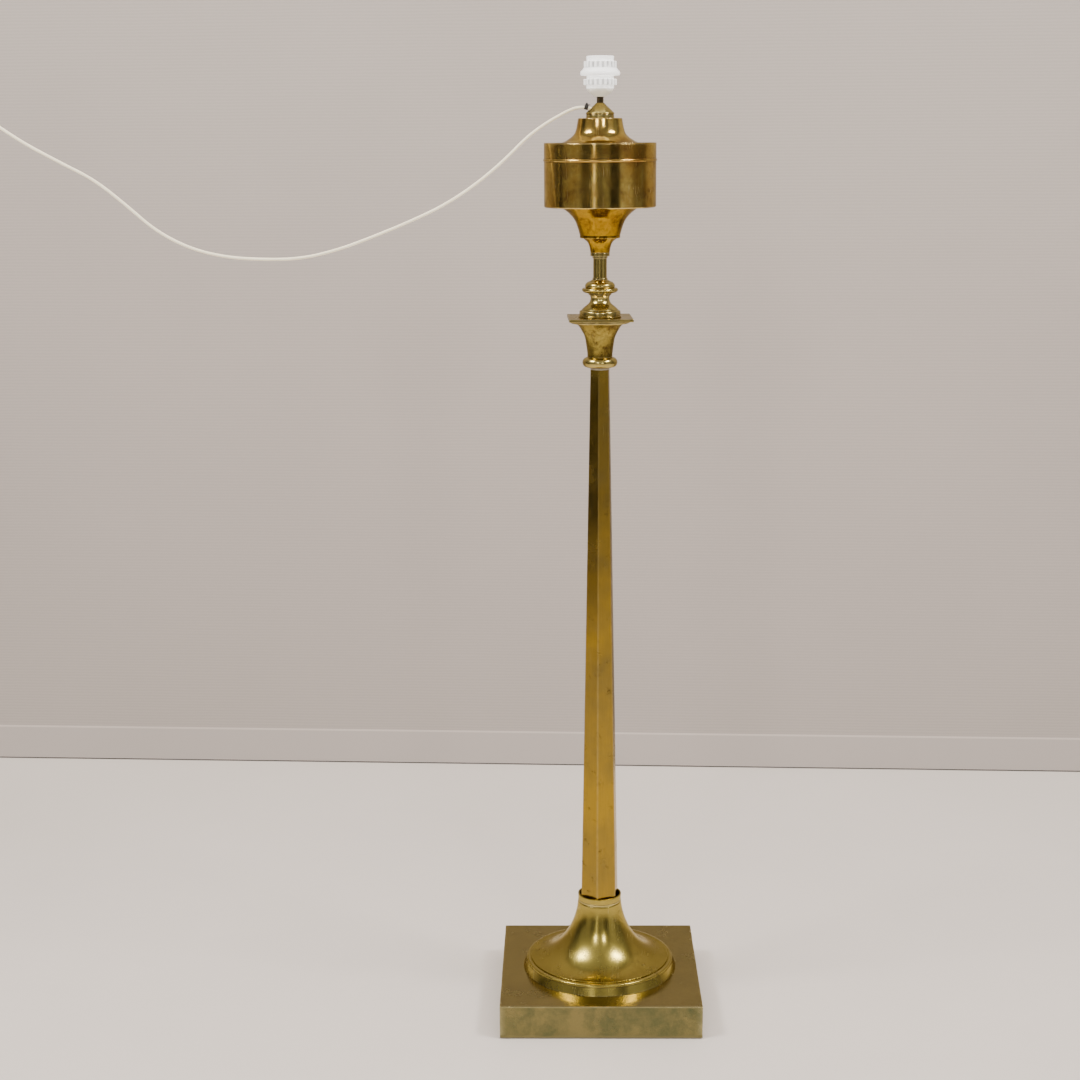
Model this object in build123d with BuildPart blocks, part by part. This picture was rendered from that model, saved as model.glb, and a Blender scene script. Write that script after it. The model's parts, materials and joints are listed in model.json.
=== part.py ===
from build123d import *
import math
import os

os.makedirs("parts", exist_ok=True)

# ---------------------------------------------------------------- driving dimensions, mm
sheet = 1.5  # wall of the spun and folded brass sheet
rod_radius = 5.0  # hollow M10 tie rod and nipple
rod_bore = 3.4
rod_hole = 5.3  # clearance hole for the rod

plinth_side = 300.0
plinth_top = 51.3
felt_top = 1.5
cover_top = 3.0
ring_top = 67.5  # top of the stepped ring on the plinth
flare_top = 165.0  # where the bell foot starts to widen
bell_top = 169.7
column_top = 975.0
capital_base = 978.0
rim_base = 1042.2
abacus_base = 1047.2
knop_base = 1051.3
knop_disc_base = 1086.0
stem_base = 1106.6
stem_top = 1135.0
small_funnel_base = 1143.0
large_funnel_base = 1163.5
drum_base = 1208.5
drum_top = 1297.0
neck_top = 1331.0
cone_base = 1335.5
cone_top = 1351.8
holder_base = 1360.4
sleeve_base = 1371.5
overall_height = 1416.2

column_corner_low = 32.4  # distance from the axis to a hexagon corner
column_corner_high = 15.1
column_turn = 22.2  # degrees that the hexagon's corners stand round from X
drum_radius = 79.8
sleeve_radius = 19.5
screw_shell_radius = 13.2  # inside of the E27 shell

flex_radius = 2.2
coil_centre = (-900.0, 1326.0)  # X and Z of the put-away coil
coil_radius = 24.0  # middle of its turns


def save(piece, name):
    """Label a finished piece and write its STEP file."""
    piece.part.label = name
    export_step(piece.part, f"parts/{name}.step")


def hex_corner(height):
    """Distance from the axis to a corner of the column at a height."""
    share = (height - plinth_top) / (column_top - plinth_top)
    return column_corner_low + share * (column_corner_high - column_corner_low)


# ---------------------------------------------------------------- plinth
felt_side = 292.0
with BuildPart() as base_felt:
    with BuildSketch():
        RectangleRounded(felt_side, felt_side, 4)
    extrude(amount=felt_top)
save(base_felt, "base_felt")

cover_side = plinth_side - 2 * sheet - 0.6
cover_screw_span = 266.0
cover_screw_radius = 2.0
with BuildPart() as bottom_cover:
    with BuildSketch(Plane.XY.offset(felt_top)):
        Rectangle(cover_side, cover_side)
        with GridLocations(cover_screw_span, cover_screw_span, 2, 2):
            Circle(cover_screw_radius + 0.2, mode=Mode.SUBTRACT)
    extrude(amount=cover_top - felt_top)
save(bottom_cover, "bottom_cover")

with BuildPart() as plinth_shell:
    with BuildSketch(Plane.XY.offset(felt_top)):
        Rectangle(plinth_side, plinth_side)
    extrude(amount=plinth_top - felt_top)
    outer_edges = plinth_shell.edges().group_by(Axis.Z)[1:]
    fillet([edge for group in outer_edges for edge in group], radius=1.2)
    inner_side = plinth_side - 2 * sheet
    with BuildSketch(Plane.XY.offset(felt_top)):
        Rectangle(inner_side, inner_side)
    extrude(amount=plinth_top - felt_top - sheet, mode=Mode.SUBTRACT)
    with Locations((0, 0, plinth_top - sheet)):
        Cylinder(rod_hole, 4 * sheet, mode=Mode.SUBTRACT)
save(plinth_shell, "plinth_shell")

block_side = 16.0
block_height = 20.0
with BuildPart() as corner_blocks:
    with GridLocations(cover_screw_span, cover_screw_span, 2, 2):
        with Locations((0, 0, cover_top + block_height / 2)):
            Box(block_side, block_side, block_height)
        with Locations((0, 0, cover_top + 7)):
            Cylinder(cover_screw_radius, 14, mode=Mode.SUBTRACT)
save(corner_blocks, "corner_blocks")

with BuildPart() as cover_screws:
    with BuildSketch(Plane.XY.offset(cover_top)):
        with GridLocations(cover_screw_span, cover_screw_span, 2, 2):
            Circle(cover_screw_radius - 0.05)
    extrude(amount=10)
save(cover_screws, "cover_screws")

ballast_radius = 118.0
ballast_depth = 24.0
nut_height = 6.0
nut_across = 19.0
ballast_base = plinth_top - sheet - ballast_depth
with BuildPart() as ballast_disc:
    with BuildSketch(Plane.XY.offset(ballast_base)):
        Circle(ballast_radius)
        Circle(rod_hole, mode=Mode.SUBTRACT)
    extrude(amount=ballast_depth)
    fillet(ballast_disc.edges().group_by(Axis.Z)[0].sort_by(SortBy.RADIUS)[-1], radius=3)
save(ballast_disc, "ballast_disc")

washer_radius = 16.0
with BuildPart() as base_washer:
    with BuildSketch(Plane.XY.offset(ballast_base - 2)):
        Circle(washer_radius)
        Circle(rod_hole, mode=Mode.SUBTRACT)
    extrude(amount=2)
save(base_washer, "base_washer")

with BuildPart() as base_nut:
    with BuildSketch(Plane.XY.offset(ballast_base - 2 - nut_height)):
        RegularPolygon(nut_across / 2, 6, major_radius=False)
        Circle(rod_radius, mode=Mode.SUBTRACT)
    extrude(amount=nut_height)
save(base_nut, "base_nut")

# ---------------------------------------------------------------- stepped ring and bell foot
with BuildPart() as foot_ring:
    with BuildSketch(Plane.XZ):
        with BuildLine():
            Polyline((98, ring_top - sheet), (98, ring_top), (109, ring_top))
            ThreePointArc((109, ring_top), (111.6, 66.4), (112.4, 63.6))
            Polyline((112.4, 63.6), (117.3, plinth_top), (115.7, plinth_top), (110.9, 63.4))
            ThreePointArc((110.9, 63.4), (110.3, 65.4), (108.6, 66.0))
            Line((108.6, 66.0), (98, 66.0))
        make_face()
    revolve(axis=Axis.Z)
save(foot_ring, "foot_ring")

bell_edge_radius = 105.0
bell_collar_radius = 32.8
flare_power = 1.9  # 2 would make the flare an ellipse
lip_inner = 30.15  # the rolled lip nearly touches the column's corners


def bell_flare(grown):
    """Outline of the flare from collar to edge, moved out from its centre by a distance."""
    reach = bell_edge_radius - bell_collar_radius + grown
    drop = flare_top - ring_top - sheet + grown
    angles = [math.radians(angle) for angle in range(0, 91, 10)]
    return [(bell_edge_radius - reach * math.cos(angle) ** (2 / flare_power),
             flare_top - drop * math.sin(angle) ** (2 / flare_power)) for angle in angles]


with BuildPart() as bell_foot:
    with BuildSketch(Plane.XZ):
        with BuildLine():
            Spline(*bell_flare(0), tangents=[(0, -1), (1, 0)])
            Spline(*bell_flare(sheet), tangents=[(0, -1), (1, 0)])
            foot_edge = (bell_edge_radius + 0.3, ring_top + sheet / 2)
            ThreePointArc((bell_edge_radius, ring_top + sheet), foot_edge, (bell_edge_radius, ring_top))
            inner_collar = bell_collar_radius - sheet
            lip_middle = ((bell_collar_radius + lip_inner) / 2, bell_top)
            lip_shoulder = bell_top - 1.2
            Line((bell_collar_radius, flare_top), (bell_collar_radius, lip_shoulder))
            ThreePointArc((bell_collar_radius, lip_shoulder), lip_middle, (lip_inner, lip_shoulder))
            Polyline((lip_inner, lip_shoulder), (lip_inner, bell_top - 2.2), (inner_collar, bell_top - 3.2),
                     (inner_collar, flare_top))
        make_face()
    revolve(axis=Axis.Z)
save(bell_foot, "bell_foot")

# ---------------------------------------------------------------- hexagonal column
column_wall = 1.2
wall_on_corner = column_wall / math.cos(math.radians(30))
with BuildPart() as column:
    for height in (plinth_top, column_top):
        with BuildSketch(Plane.XY.offset(height)):
            RegularPolygon(hex_corner(height), 6, rotation=column_turn)
    loft()
    long_edges = column.edges().filter_by(lambda edge: edge.length > 500)
    fillet(long_edges, radius=1.6)
    for height in (plinth_top, column_top):
        with BuildSketch(Plane.XY.offset(height)):
            RegularPolygon(hex_corner(height) - wall_on_corner, 6, rotation=column_turn)
    loft(mode=Mode.SUBTRACT)
save(column, "column")

foot_plug_radius = 25.6
top_plug_radius = 11.4
plug_depth = 12.0
for plug_name, plug_radius, plug_base in (
    ("column_foot_plug", foot_plug_radius, plinth_top),
    ("column_top_plug", top_plug_radius, column_top - plug_depth),
):
    with BuildPart() as column_plug:
        with BuildSketch(Plane.XY.offset(plug_base)):
            Circle(plug_radius)
            Circle(rod_hole, mode=Mode.SUBTRACT)
        extrude(amount=plug_depth)
    save(column_plug, plug_name)

rod_base = 8.0
rod_top = drum_base + 16
with BuildPart() as tie_rod:
    with BuildSketch(Plane.XY.offset(rod_base)):
        Circle(rod_radius)
        Circle(rod_bore, mode=Mode.SUBTRACT)
    extrude(amount=rod_top - rod_base)
save(tie_rod, "tie_rod")

# ---------------------------------------------------------------- plain bored rings of the stem
ring_sizes = (
    ("column_collar", 13.7, column_top, capital_base),
    ("stem_foot_ring", 10.9, 1104.0, stem_base),
    ("stem_top_ring", 10.9, stem_top, 1138.0),
    ("funnel_collar", 13.8, 1138.0, small_funnel_base),
    ("neck_collar", 19.8, neck_top, cone_base),
)
for ring_name, ring_radius, ring_low, ring_high in ring_sizes:
    with BuildPart() as plain_ring:
        with BuildSketch(Plane.XY.offset(ring_low)):
            Circle(ring_radius)
            Circle(rod_hole, mode=Mode.SUBTRACT)
        extrude(amount=ring_high - ring_low)
        outer_rims = plain_ring.edges().filter_by(GeomType.CIRCLE).sort_by(SortBy.RADIUS)[-2:]
        fillet(outer_rims, radius=0.6)
    save(plain_ring, ring_name)

# ---------------------------------------------------------------- capital
torus_radius = 7.5
torus_centre = (17.9, capital_base + torus_radius)
torus_top = capital_base + 2 * torus_radius
with BuildPart() as capital_torus:
    with BuildSketch(Plane.XZ):
        with BuildLine():
            Polyline((torus_centre[0], torus_top), (rod_hole, torus_top), (rod_hole, capital_base),
                     (torus_centre[0], capital_base))
            widest = (torus_centre[0] + torus_radius, torus_centre[1])
            ThreePointArc((torus_centre[0], capital_base), widest, (torus_centre[0], torus_top))
        make_face()
    revolve(axis=Axis.Z)
save(capital_torus, "capital_torus")

with BuildPart() as capital_bell:
    with BuildSketch(Plane.XZ):
        with BuildLine():
            Polyline((34.6, rim_base), (rod_hole, rim_base), (rod_hole, torus_top), (18.2, torus_top),
                     (18.2, 998))
            Spline((18.2, 998), (19.7, 1010), (22.3, 1023), (27.1, 1032.5), (30.2, 1037.5), (34.6, rim_base))
        make_face()
    revolve(axis=Axis.Z)
save(capital_bell, "capital_bell")

rim_radius = 43.4
rim_curve = 2.0
with BuildPart() as capital_rim:
    with BuildSketch(Plane.XY.offset(rim_base)):
        Circle(rim_radius)
        Circle(rod_hole, mode=Mode.SUBTRACT)
    extrude(amount=abacus_base - rim_base)
    lower_rim = capital_rim.edges().group_by(Axis.Z)[0].sort_by(SortBy.RADIUS)[-1]
    fillet(lower_rim, radius=rim_curve)
save(capital_rim, "capital_rim")

abacus_side = 92.0
abacus_turn = 2.0
with BuildPart() as abacus:
    with BuildSketch(Plane.XY.offset(abacus_base)):
        Rectangle(abacus_side, abacus_side, rotation=abacus_turn)
        Circle(rod_hole, mode=Mode.SUBTRACT)
    extrude(amount=knop_base - abacus_base)
    square_edges = abacus.edges().filter_by(GeomType.LINE)
    fillet(square_edges, radius=0.8)
save(abacus, "abacus")

# ---------------------------------------------------------------- turned knop
with BuildPart() as knop_baluster:
    with BuildSketch(Plane.XZ):
        with BuildLine():
            Polyline((17.5, knop_disc_base), (rod_hole, knop_disc_base), (rod_hole, knop_base),
                     (30.4, knop_base))
            ThreePointArc((30.4, knop_base), (31.1, 1052.2), (30.4, 1053))
            Polyline((30.4, 1053), (29.0, 1053.4), (29.7, 1054.2), (29.7, 1058))
            ThreePointArc((29.7, 1058), (29.2, 1059.6), (27.9, 1060.5))
            Line((27.9, 1060.5), (26.4, 1060.9))
            Spline((26.4, 1060.9), (24.4, 1063.6), (20.4, 1067), (16.5, 1070.2), (14.3, 1073.8), (13.4, 1078),
                   (14.6, 1081.9))
            Polyline((14.6, 1081.9), (16.4, 1082.8), (16.4, 1084.2), (17.5, 1085), (17.5, knop_disc_base))
        make_face()
    revolve(axis=Axis.Z)
save(knop_baluster, "knop_baluster")

knop_bead_base = 1092.3
with BuildPart() as knop_disc:
    with BuildSketch(Plane.XZ):
        with BuildLine():
            Polyline((24.8, knop_bead_base), (rod_hole, knop_bead_base), (rod_hole, knop_disc_base),
                     (22.4, knop_disc_base))
            ThreePointArc((22.4, knop_disc_base), (26.0, 1090.4), (24.8, knop_bead_base))
        make_face()
    revolve(axis=Axis.Z)
save(knop_disc, "knop_disc")

with BuildPart() as knop_bead:
    with BuildSketch(Plane.XZ):
        with BuildLine():
            Polyline((12.0, 1104), (rod_hole, 1104), (rod_hole, knop_bead_base), (20.4, knop_bead_base))
            ThreePointArc((20.4, knop_bead_base), (21.7, 1095.2), (18.0, 1101))
            Polyline((18.0, 1101), (14.6, 1102.2), (12.0, 1104))
        make_face()
    revolve(axis=Axis.Z)
save(knop_bead, "knop_bead")

stem_radius = 9.8
with BuildPart() as stem_tube:
    with BuildSketch(Plane.XY.offset(stem_base)):
        Circle(stem_radius)
        Circle(stem_radius - sheet, mode=Mode.SUBTRACT)
    extrude(amount=stem_top - stem_base)
save(stem_tube, "stem_tube")

# ---------------------------------------------------------------- funnels under the drum
with BuildPart() as small_funnel:
    with BuildSketch(Plane.XZ):
        with BuildLine():
            Polyline((25.0, large_funnel_base), (rod_hole, large_funnel_base),
                     (rod_hole, small_funnel_base), (13.8, small_funnel_base))
            Spline((13.8, small_funnel_base), (15.4, 1151.5), (18.3, 1158), (25.0, large_funnel_base))
        make_face()
    revolve(axis=Axis.Z)
save(small_funnel, "small_funnel")

band_radius = 28.9
funnel_flare = ((band_radius, 1167.5), (31.8, 1178), (36.6, 1189.5), (44.6, 1198.6), (55.4, drum_base - sheet))
with BuildPart() as large_funnel:
    with BuildSketch(Plane.XZ):
        with BuildLine():
            Polyline(funnel_flare[0], (band_radius, large_funnel_base + 0.6), (band_radius - 0.6, large_funnel_base),
                     (rod_hole, large_funnel_base), (rod_hole, large_funnel_base + sheet),
                     (band_radius - sheet, large_funnel_base + sheet), (band_radius - sheet, 1167.5))
            Spline(*funnel_flare)
            inner_flare = [(radius - sheet, height + 0.6) for radius, height in funnel_flare[1:-1]]
            Spline((band_radius - sheet, 1167.5), *inner_flare, (53.2, drum_base - sheet))
            Line((53.2, drum_base - sheet), funnel_flare[-1])
        make_face()
    revolve(axis=Axis.Z)
save(large_funnel, "large_funnel")

# ---------------------------------------------------------------- drum and its necked lid
bead_height = 1273.0
bead_radius = 2.6
bead_stand_out = 1.3
lid_flange_base = drum_top - sheet
with BuildPart() as drum_body:
    with BuildSketch(Plane.XZ):
        with BuildLine():
            wall_inner = drum_radius - sheet
            Polyline((drum_radius, drum_base + 0.5), (drum_radius, lid_flange_base),
                     (wall_inner, lid_flange_base), (wall_inner, drum_base),
                     (rod_hole, drum_base), (rod_hole, drum_base - sheet),
                     (drum_radius - 2, drum_base - sheet))
            RadiusArc((drum_radius - 2, drum_base - sheet), (drum_radius, drum_base + 0.5), -2)
        make_face()
        with Locations((drum_radius + bead_stand_out - bead_radius, bead_height)):
            Circle(bead_radius)
    revolve(axis=Axis.Z)
save(drum_body, "drum_body")

with BuildPart() as drum_nut:
    with BuildSketch(Plane.XY.offset(drum_base + 2)):
        RegularPolygon(nut_across / 2, 6, major_radius=False)
        Circle(rod_radius, mode=Mode.SUBTRACT)
    extrude(amount=nut_height)
save(drum_nut, "drum_nut")

with BuildPart() as drum_washer:
    with BuildSketch(Plane.XY.offset(drum_base)):
        Circle(washer_radius)
        Circle(rod_hole, mode=Mode.SUBTRACT)
    extrude(amount=2)
save(drum_washer, "drum_washer")

neck_curve = ((54.5, drum_top), (46.8, 1300.7), (37.9, 1307.6), (33.9, 1316), (31.3, neck_top - 0.8))
spigot_radius = drum_radius - sheet - 0.2
with BuildPart() as lid_neck:
    with BuildSketch(Plane.XZ):
        with BuildLine():
            Polyline(neck_curve[0], (drum_radius - 0.5, drum_top), (drum_radius, drum_top - 0.5),
                     (drum_radius, lid_flange_base), (spigot_radius, lid_flange_base),
                     (spigot_radius, lid_flange_base - 9), (spigot_radius - sheet, lid_flange_base - 9),
                     (spigot_radius - sheet, lid_flange_base), (53.3, lid_flange_base))
            inner_neck = [(radius - sheet, height - 0.5) for radius, height in neck_curve[1:-1]]
            Spline((53.3, lid_flange_base), *inner_neck, (31.3 - sheet, neck_top - sheet))
            Polyline((31.3 - sheet, neck_top - sheet), (rod_hole, neck_top - sheet), (rod_hole, neck_top),
                     (30.5, neck_top), neck_curve[-1])
            Spline(*neck_curve)
        make_face()
    revolve(axis=Axis.Z)
save(lid_neck, "lid_neck")

# ---------------------------------------------------------------- cone cap and nipple
cord_hole = (-14.5, 0, 1344.6)
cord_rise = 15.0  # degrees that the flex climbs as it comes out
flex_out = Plane(origin=cord_hole, x_dir=(0, 1, 0), z_dir=(-math.cos(math.radians(cord_rise)), 0,
                                                        math.sin(math.radians(cord_rise))))
cone_wall = 1.2
with BuildPart() as cone_cap:
    with BuildSketch(Plane.XZ):
        with BuildLine():
            Line((rod_hole, cone_top), (6.0, cone_top))
            Spline((6.0, cone_top), (9.8, 1347.8), (14.1, 1343.9), (18.2, 1340))
            ThreePointArc((18.2, 1340), (20.4, 1337.4), (18.6, cone_base))
            Polyline((18.6, cone_base), (17.0, cone_base), (17.0, 1338.8), (9.6, 1346), (rod_hole, 1350.6),
                     (rod_hole, cone_top))
        make_face()
    revolve(axis=Axis.Z)
    with BuildSketch(flex_out.offset(-6)):
        Circle(flex_radius + 0.3)
    extrude(amount=12, mode=Mode.SUBTRACT)
save(cone_cap, "cone_cap")

nipple_base = neck_top - 14
nipple_top = holder_base + 6
with BuildPart() as nipple:
    with BuildSketch(Plane.XY.offset(nipple_base)):
        Circle(rod_radius)
        Circle(rod_bore, mode=Mode.SUBTRACT)
    extrude(amount=nipple_top - nipple_base)
    with BuildSketch(Plane.YZ.offset(-rod_radius - 1)):
        with Locations((0, 1342.8)):
            SlotCenterToCenter(4, 4.4, rotation=90)
    extrude(amount=rod_radius, mode=Mode.SUBTRACT)
save(nipple, "nipple")

with BuildPart() as neck_nut:
    with BuildSketch(Plane.XY.offset(neck_top - sheet - 5)):
        RegularPolygon(nut_across / 2, 6, major_radius=False)
        Circle(rod_radius, mode=Mode.SUBTRACT)
    extrude(amount=5)
save(neck_nut, "neck_nut")

with BuildPart() as cone_nut:
    with BuildSketch(Plane.XY.offset(cone_base)):
        RegularPolygon(7, 6, major_radius=False)
        Circle(rod_radius, mode=Mode.SUBTRACT)
    extrude(amount=3)
save(cone_nut, "cone_nut")

# ---------------------------------------------------------------- lampholder
cap_wall = 1.6
cap_top = sleeve_base - 0.4
with BuildPart() as holder_cap:
    with BuildSketch(Plane.XZ):
        with BuildLine():
            Line((rod_radius, holder_base), (8.0, holder_base))
            Spline((8.0, holder_base), (9.6, 1361.9), (14.6, 1365.4), (17.6, 1368.3), (19.2, cap_top))
            Polyline((19.2, cap_top), (19.2 - cap_wall, cap_top), (14.0, 1367.4),
                     (9.0, 1366), (rod_radius, 1366), (rod_radius, holder_base))
        make_face()
    revolve(axis=Axis.Z)
save(holder_cap, "holder_cap")

block_base = cap_top
block_top = 1384.0
block_radius = 15.2
upstand_inner = 12.0
shell_base = 1389.0
terminal_offset = 7.5
terminal_base = 1370.0
with BuildPart() as contact_block:
    with BuildSketch(Plane.XY.offset(block_base)):
        Circle(block_radius)
        Circle(rod_bore, mode=Mode.SUBTRACT)
        with Locations((-terminal_offset, 0), (terminal_offset, 0)):
            Circle(2.1, mode=Mode.SUBTRACT)
    extrude(amount=block_top - block_base)
    with BuildSketch(Plane.XY.offset(block_top)):
        Circle(block_radius)
        Circle(upstand_inner, mode=Mode.SUBTRACT)
    extrude(amount=shell_base - block_top)
save(contact_block, "contact_block")

with BuildPart() as terminal_screws:
    with BuildSketch(Plane.XY.offset(terminal_base)):
        with Locations((-terminal_offset, 0), (terminal_offset, 0)):
            Circle(2.0)
    extrude(amount=8)
save(terminal_screws, "terminal_screws")

shell_wall = 0.5
shell_top = 1410.0
with BuildPart() as screw_shell:
    with BuildSketch(Plane.XY.offset(shell_base)):
        Circle(screw_shell_radius + shell_wall)
        Circle(screw_shell_radius, mode=Mode.SUBTRACT)
    extrude(amount=shell_top - shell_base)
save(screw_shell, "screw_shell")

contact_travel = 1.5
with BuildPart() as centre_contact:
    with BuildSketch(Plane.XY.offset(block_top + contact_travel + 0.3)):
        Rectangle(9, 4)
        Circle(3)
    extrude(amount=0.6)
    with Locations((0, 0, block_top + contact_travel + 0.9)):
        Cylinder(2.2, 0.8, align=(Align.CENTER, Align.CENTER, Align.MIN))
save(centre_contact, "centre_contact")

lead_radius = 0.9
with BuildPart() as inner_leads:
    for side in (-1, 1):
        with BuildLine() as lead_line:
            FilletPolyline((-7.7, side, 1342.8), (1.3 * side, side, 1344.4), (1.3 * side, side, 1368.6),
                           (6.6 * side, side, 1368.9), radius=2)
        lead_wire = lead_line.wires()[0]
        with BuildSketch(Plane(origin=lead_wire @ 0, z_dir=lead_wire % 0)):
            Circle(lead_radius)
        sweep(path=lead_wire)
save(inner_leads, "inner_leads")

sleeve_wall = 2.2
sleeve_inner = sleeve_radius - sleeve_wall
mouth_inner = screw_shell_radius + shell_wall + 0.4
with BuildPart() as holder_sleeve:
    with BuildSketch(Plane.XZ):
        with BuildLine():
            Polyline((sleeve_inner, sleeve_base), (sleeve_radius - 0.6, sleeve_base),
                     (sleeve_radius, sleeve_base + 0.6), (sleeve_radius, overall_height - 1.2))
            RadiusArc((sleeve_radius, overall_height - 1.2), (sleeve_radius - 1.2, overall_height), -1.2)
            Polyline((sleeve_radius - 1.2, overall_height), (mouth_inner + 0.8, overall_height),
                     (mouth_inner, overall_height - 0.8), (mouth_inner, 1405), (sleeve_inner, 1402),
                     (sleeve_inner, sleeve_base))
        make_face()
    revolve(axis=Axis.Z)
save(holder_sleeve, "holder_sleeve")

# ---------------------------------------------------------------- shade rings
rib_count = 20
ring_clear = 0.3
flute_radius = 2.7
flute_depth = 0.9
ring_bore = sleeve_radius + ring_clear
lower_ring = (1376.4, 1384.6, 23.4)  # bottom, top, radius
with BuildPart() as shade_ring_lower:
    with BuildSketch(Plane.XY.offset(lower_ring[0])):
        Circle(lower_ring[2])
        Circle(ring_bore, mode=Mode.SUBTRACT)
        with PolarLocations(lower_ring[2] + flute_radius - flute_depth, rib_count):
            Circle(flute_radius, mode=Mode.SUBTRACT)
    extrude(amount=lower_ring[1] - lower_ring[0])
save(shade_ring_lower, "shade_ring_lower")

flange_base = 1389.6
collar_base = 1400.4
collar_top = 1409.0
collar_radius = 23.0
with BuildPart() as shade_ring_upper:
    with BuildSketch(Plane.XZ):
        with BuildLine():
            Polyline((ring_bore, collar_base), (ring_bore, 1398.5), (26.2, flange_base + 1), (26.2, flange_base),
                     (27.6, flange_base))
            ThreePointArc((27.6, flange_base), (28.1, 1392.4), (27.5, 1395))
            Spline((27.5, 1395), (25.2, 1397.3), (collar_radius, collar_base))
            Line((collar_radius, collar_base), (ring_bore, collar_base))
        make_face()
    revolve(axis=Axis.Z)
    with BuildSketch(Plane.XY.offset(collar_base)):
        Circle(collar_radius)
        Circle(ring_bore, mode=Mode.SUBTRACT)
        with PolarLocations(collar_radius + flute_radius - flute_depth, rib_count):
            Circle(flute_radius, mode=Mode.SUBTRACT)
    extrude(amount=collar_top - collar_base)
save(shade_ring_upper, "shade_ring_upper")

# ---------------------------------------------------------------- flex from the cone cap to the coil
flex_route = (
    (-8, 1342.9), (-27, 1348.6), (-54, 1337.5), (-98, 1311), (-137, 1272), (-179, 1238), (-225, 1209),
    (-274, 1187), (-324, 1167), (-375, 1148.5), (-428, 1136), (-483, 1135), (-537, 1138.5), (-588, 1151),
    (-636, 1176), (-677, 1213), (-721, 1249), (-769, 1273.5), (-820, 1301), (-868, 1334), (-897, 1350.2),
)  # X and Z; the flex hangs in the plane of the lamp's axis


def corner_radius(before, corner, after):
    """Radius of the arc at a corner, as large as its two runs allow."""
    run_in = Vector(*corner) - Vector(*before)
    run_out = Vector(*after) - Vector(*corner)
    half_turn = math.radians(run_in.get_angle(run_out)) / 2
    return 0.45 * min(run_in.length, run_out.length) / math.tan(half_turn)


def flex_tube(route, name):
    """A tube of straight runs joined by tangent arcs, along X and Z points."""
    radii = [corner_radius(*route[i - 1:i + 2]) for i in range(1, len(route) - 1)]
    print(name, "arc radii", [round(radius) for radius in radii])
    with BuildPart() as tube:
        with BuildLine(Plane.XZ) as path:
            FilletPolyline(*route, radius=radii)
        centre_line = path.wires()[0]
        with BuildSketch(Plane(origin=centre_line @ 0, z_dir=centre_line % 0)):
            Circle(flex_radius)
        sweep()
    section = math.pi * flex_radius ** 2
    print(name, "length", round(centre_line.length, 1), "volume ratio",
          round(tube.part.volume / (section * centre_line.length), 4))
    save(tube, name)


flex_tube(flex_route, "flex_span")

coil_x, coil_z = coil_centre
coil_half_radial = 4.9
coil_half_width = 7.0
coil_middle = Plane.XZ.offset(-coil_half_width)
with BuildPart() as flex_coil:
    with BuildSketch(coil_middle):
        with Locations(coil_centre):
            Circle(coil_radius + coil_half_radial)
            Circle(coil_radius - coil_half_radial, mode=Mode.SUBTRACT)
    extrude(amount=2 * coil_half_width)
    fillet(flex_coil.edges().filter_by(GeomType.CIRCLE), radius=2.1)
save(flex_coil, "flex_coil")

tail_x = coil_x - coil_radius - 2.2
plug_top = 1268.0
flex_tube(((tail_x, coil_z), (tail_x - 0.4, (coil_z + plug_top) / 2), (tail_x, plug_top)), "flex_tail")

# ---------------------------------------------------------------- what sits on the flex
grip_start = 2.4  # along the flex, from the hole to the tie's band
band_width = 5.6
grip_plane = Plane(origin=cord_hole, x_dir=(0, -1, 0), z_dir=flex_out.z_dir).offset(grip_start)
head_low = flex_radius + 0.6
head_high = flex_radius + 4.2
with BuildPart() as cord_grip:
    with BuildSketch(grip_plane):
        Circle(flex_radius + 1.2)
        Circle(flex_radius + 0.05, mode=Mode.SUBTRACT)
    extrude(amount=band_width)
    with BuildSketch(grip_plane.offset(1.8)):
        with Locations((0, (head_low + head_high) / 2)):
            Rectangle(5.0, head_high - head_low)
    extrude(amount=3.2)
    with BuildSketch(grip_plane.offset(-2.2)):
        with Locations((0, flex_radius + 2.4)):
            Rectangle(2.6, 1.2)
    extrude(amount=4.2)
save(cord_grip, "cord_grip")

tie_angle = 235.0  # degrees round the coil from its right-hand side
tie_length = 5.0
tie_wall = 1.2
tie_clear = 0.4
tie_direction = Vector(math.cos(math.radians(tie_angle)), 0, math.sin(math.radians(tie_angle)))
tie_centre = Vector(coil_x, 0, coil_z) + tie_direction * coil_radius
tie_along = Vector(-tie_direction.Z, 0, tie_direction.X)
with BuildPart() as coil_tie:
    with BuildSketch(Plane(origin=tie_centre - tie_along * tie_length / 2, x_dir=tie_direction, z_dir=tie_along)):
        inner_radial = 2 * (coil_half_radial + tie_clear)
        inner_wide = 2 * (coil_half_width + tie_clear)
        RectangleRounded(inner_radial + 2 * tie_wall, inner_wide + 2 * tie_wall, 2.2)
        Rectangle(inner_radial, inner_wide, mode=Mode.SUBTRACT)
    extrude(amount=tie_length)
save(coil_tie, "coil_tie")

boot_length = 22.0
plug_length = 34.0
pin_radius = 2.0
pin_length = 19.0
pin_spacing = 18.6
body_top = plug_top - boot_length
body_bottom = body_top - plug_length
with BuildPart() as plug_body:
    with BuildSketch(Plane.XY.offset(body_bottom)):
        with Locations((tail_x, 0)):
            RectangleRounded(35.0, 13.6, 6.2)
    with BuildSketch(Plane.XY.offset(body_bottom + 12)):
        with Locations((tail_x, 0)):
            RectangleRounded(34.0, 13.6, 6.2)
    with BuildSketch(Plane.XY.offset(body_top)):
        with Locations((tail_x, 0)):
            RectangleRounded(11.0, 10.6, 4.8)
    loft()
    with BuildSketch(Plane.XY.offset(body_top)):
        with Locations((tail_x, 0)):
            Circle(4.2)
    with BuildSketch(Plane.XY.offset(plug_top)):
        with Locations((tail_x, 0)):
            Circle(3.1)
    loft()
save(plug_body, "plug_body")

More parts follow.
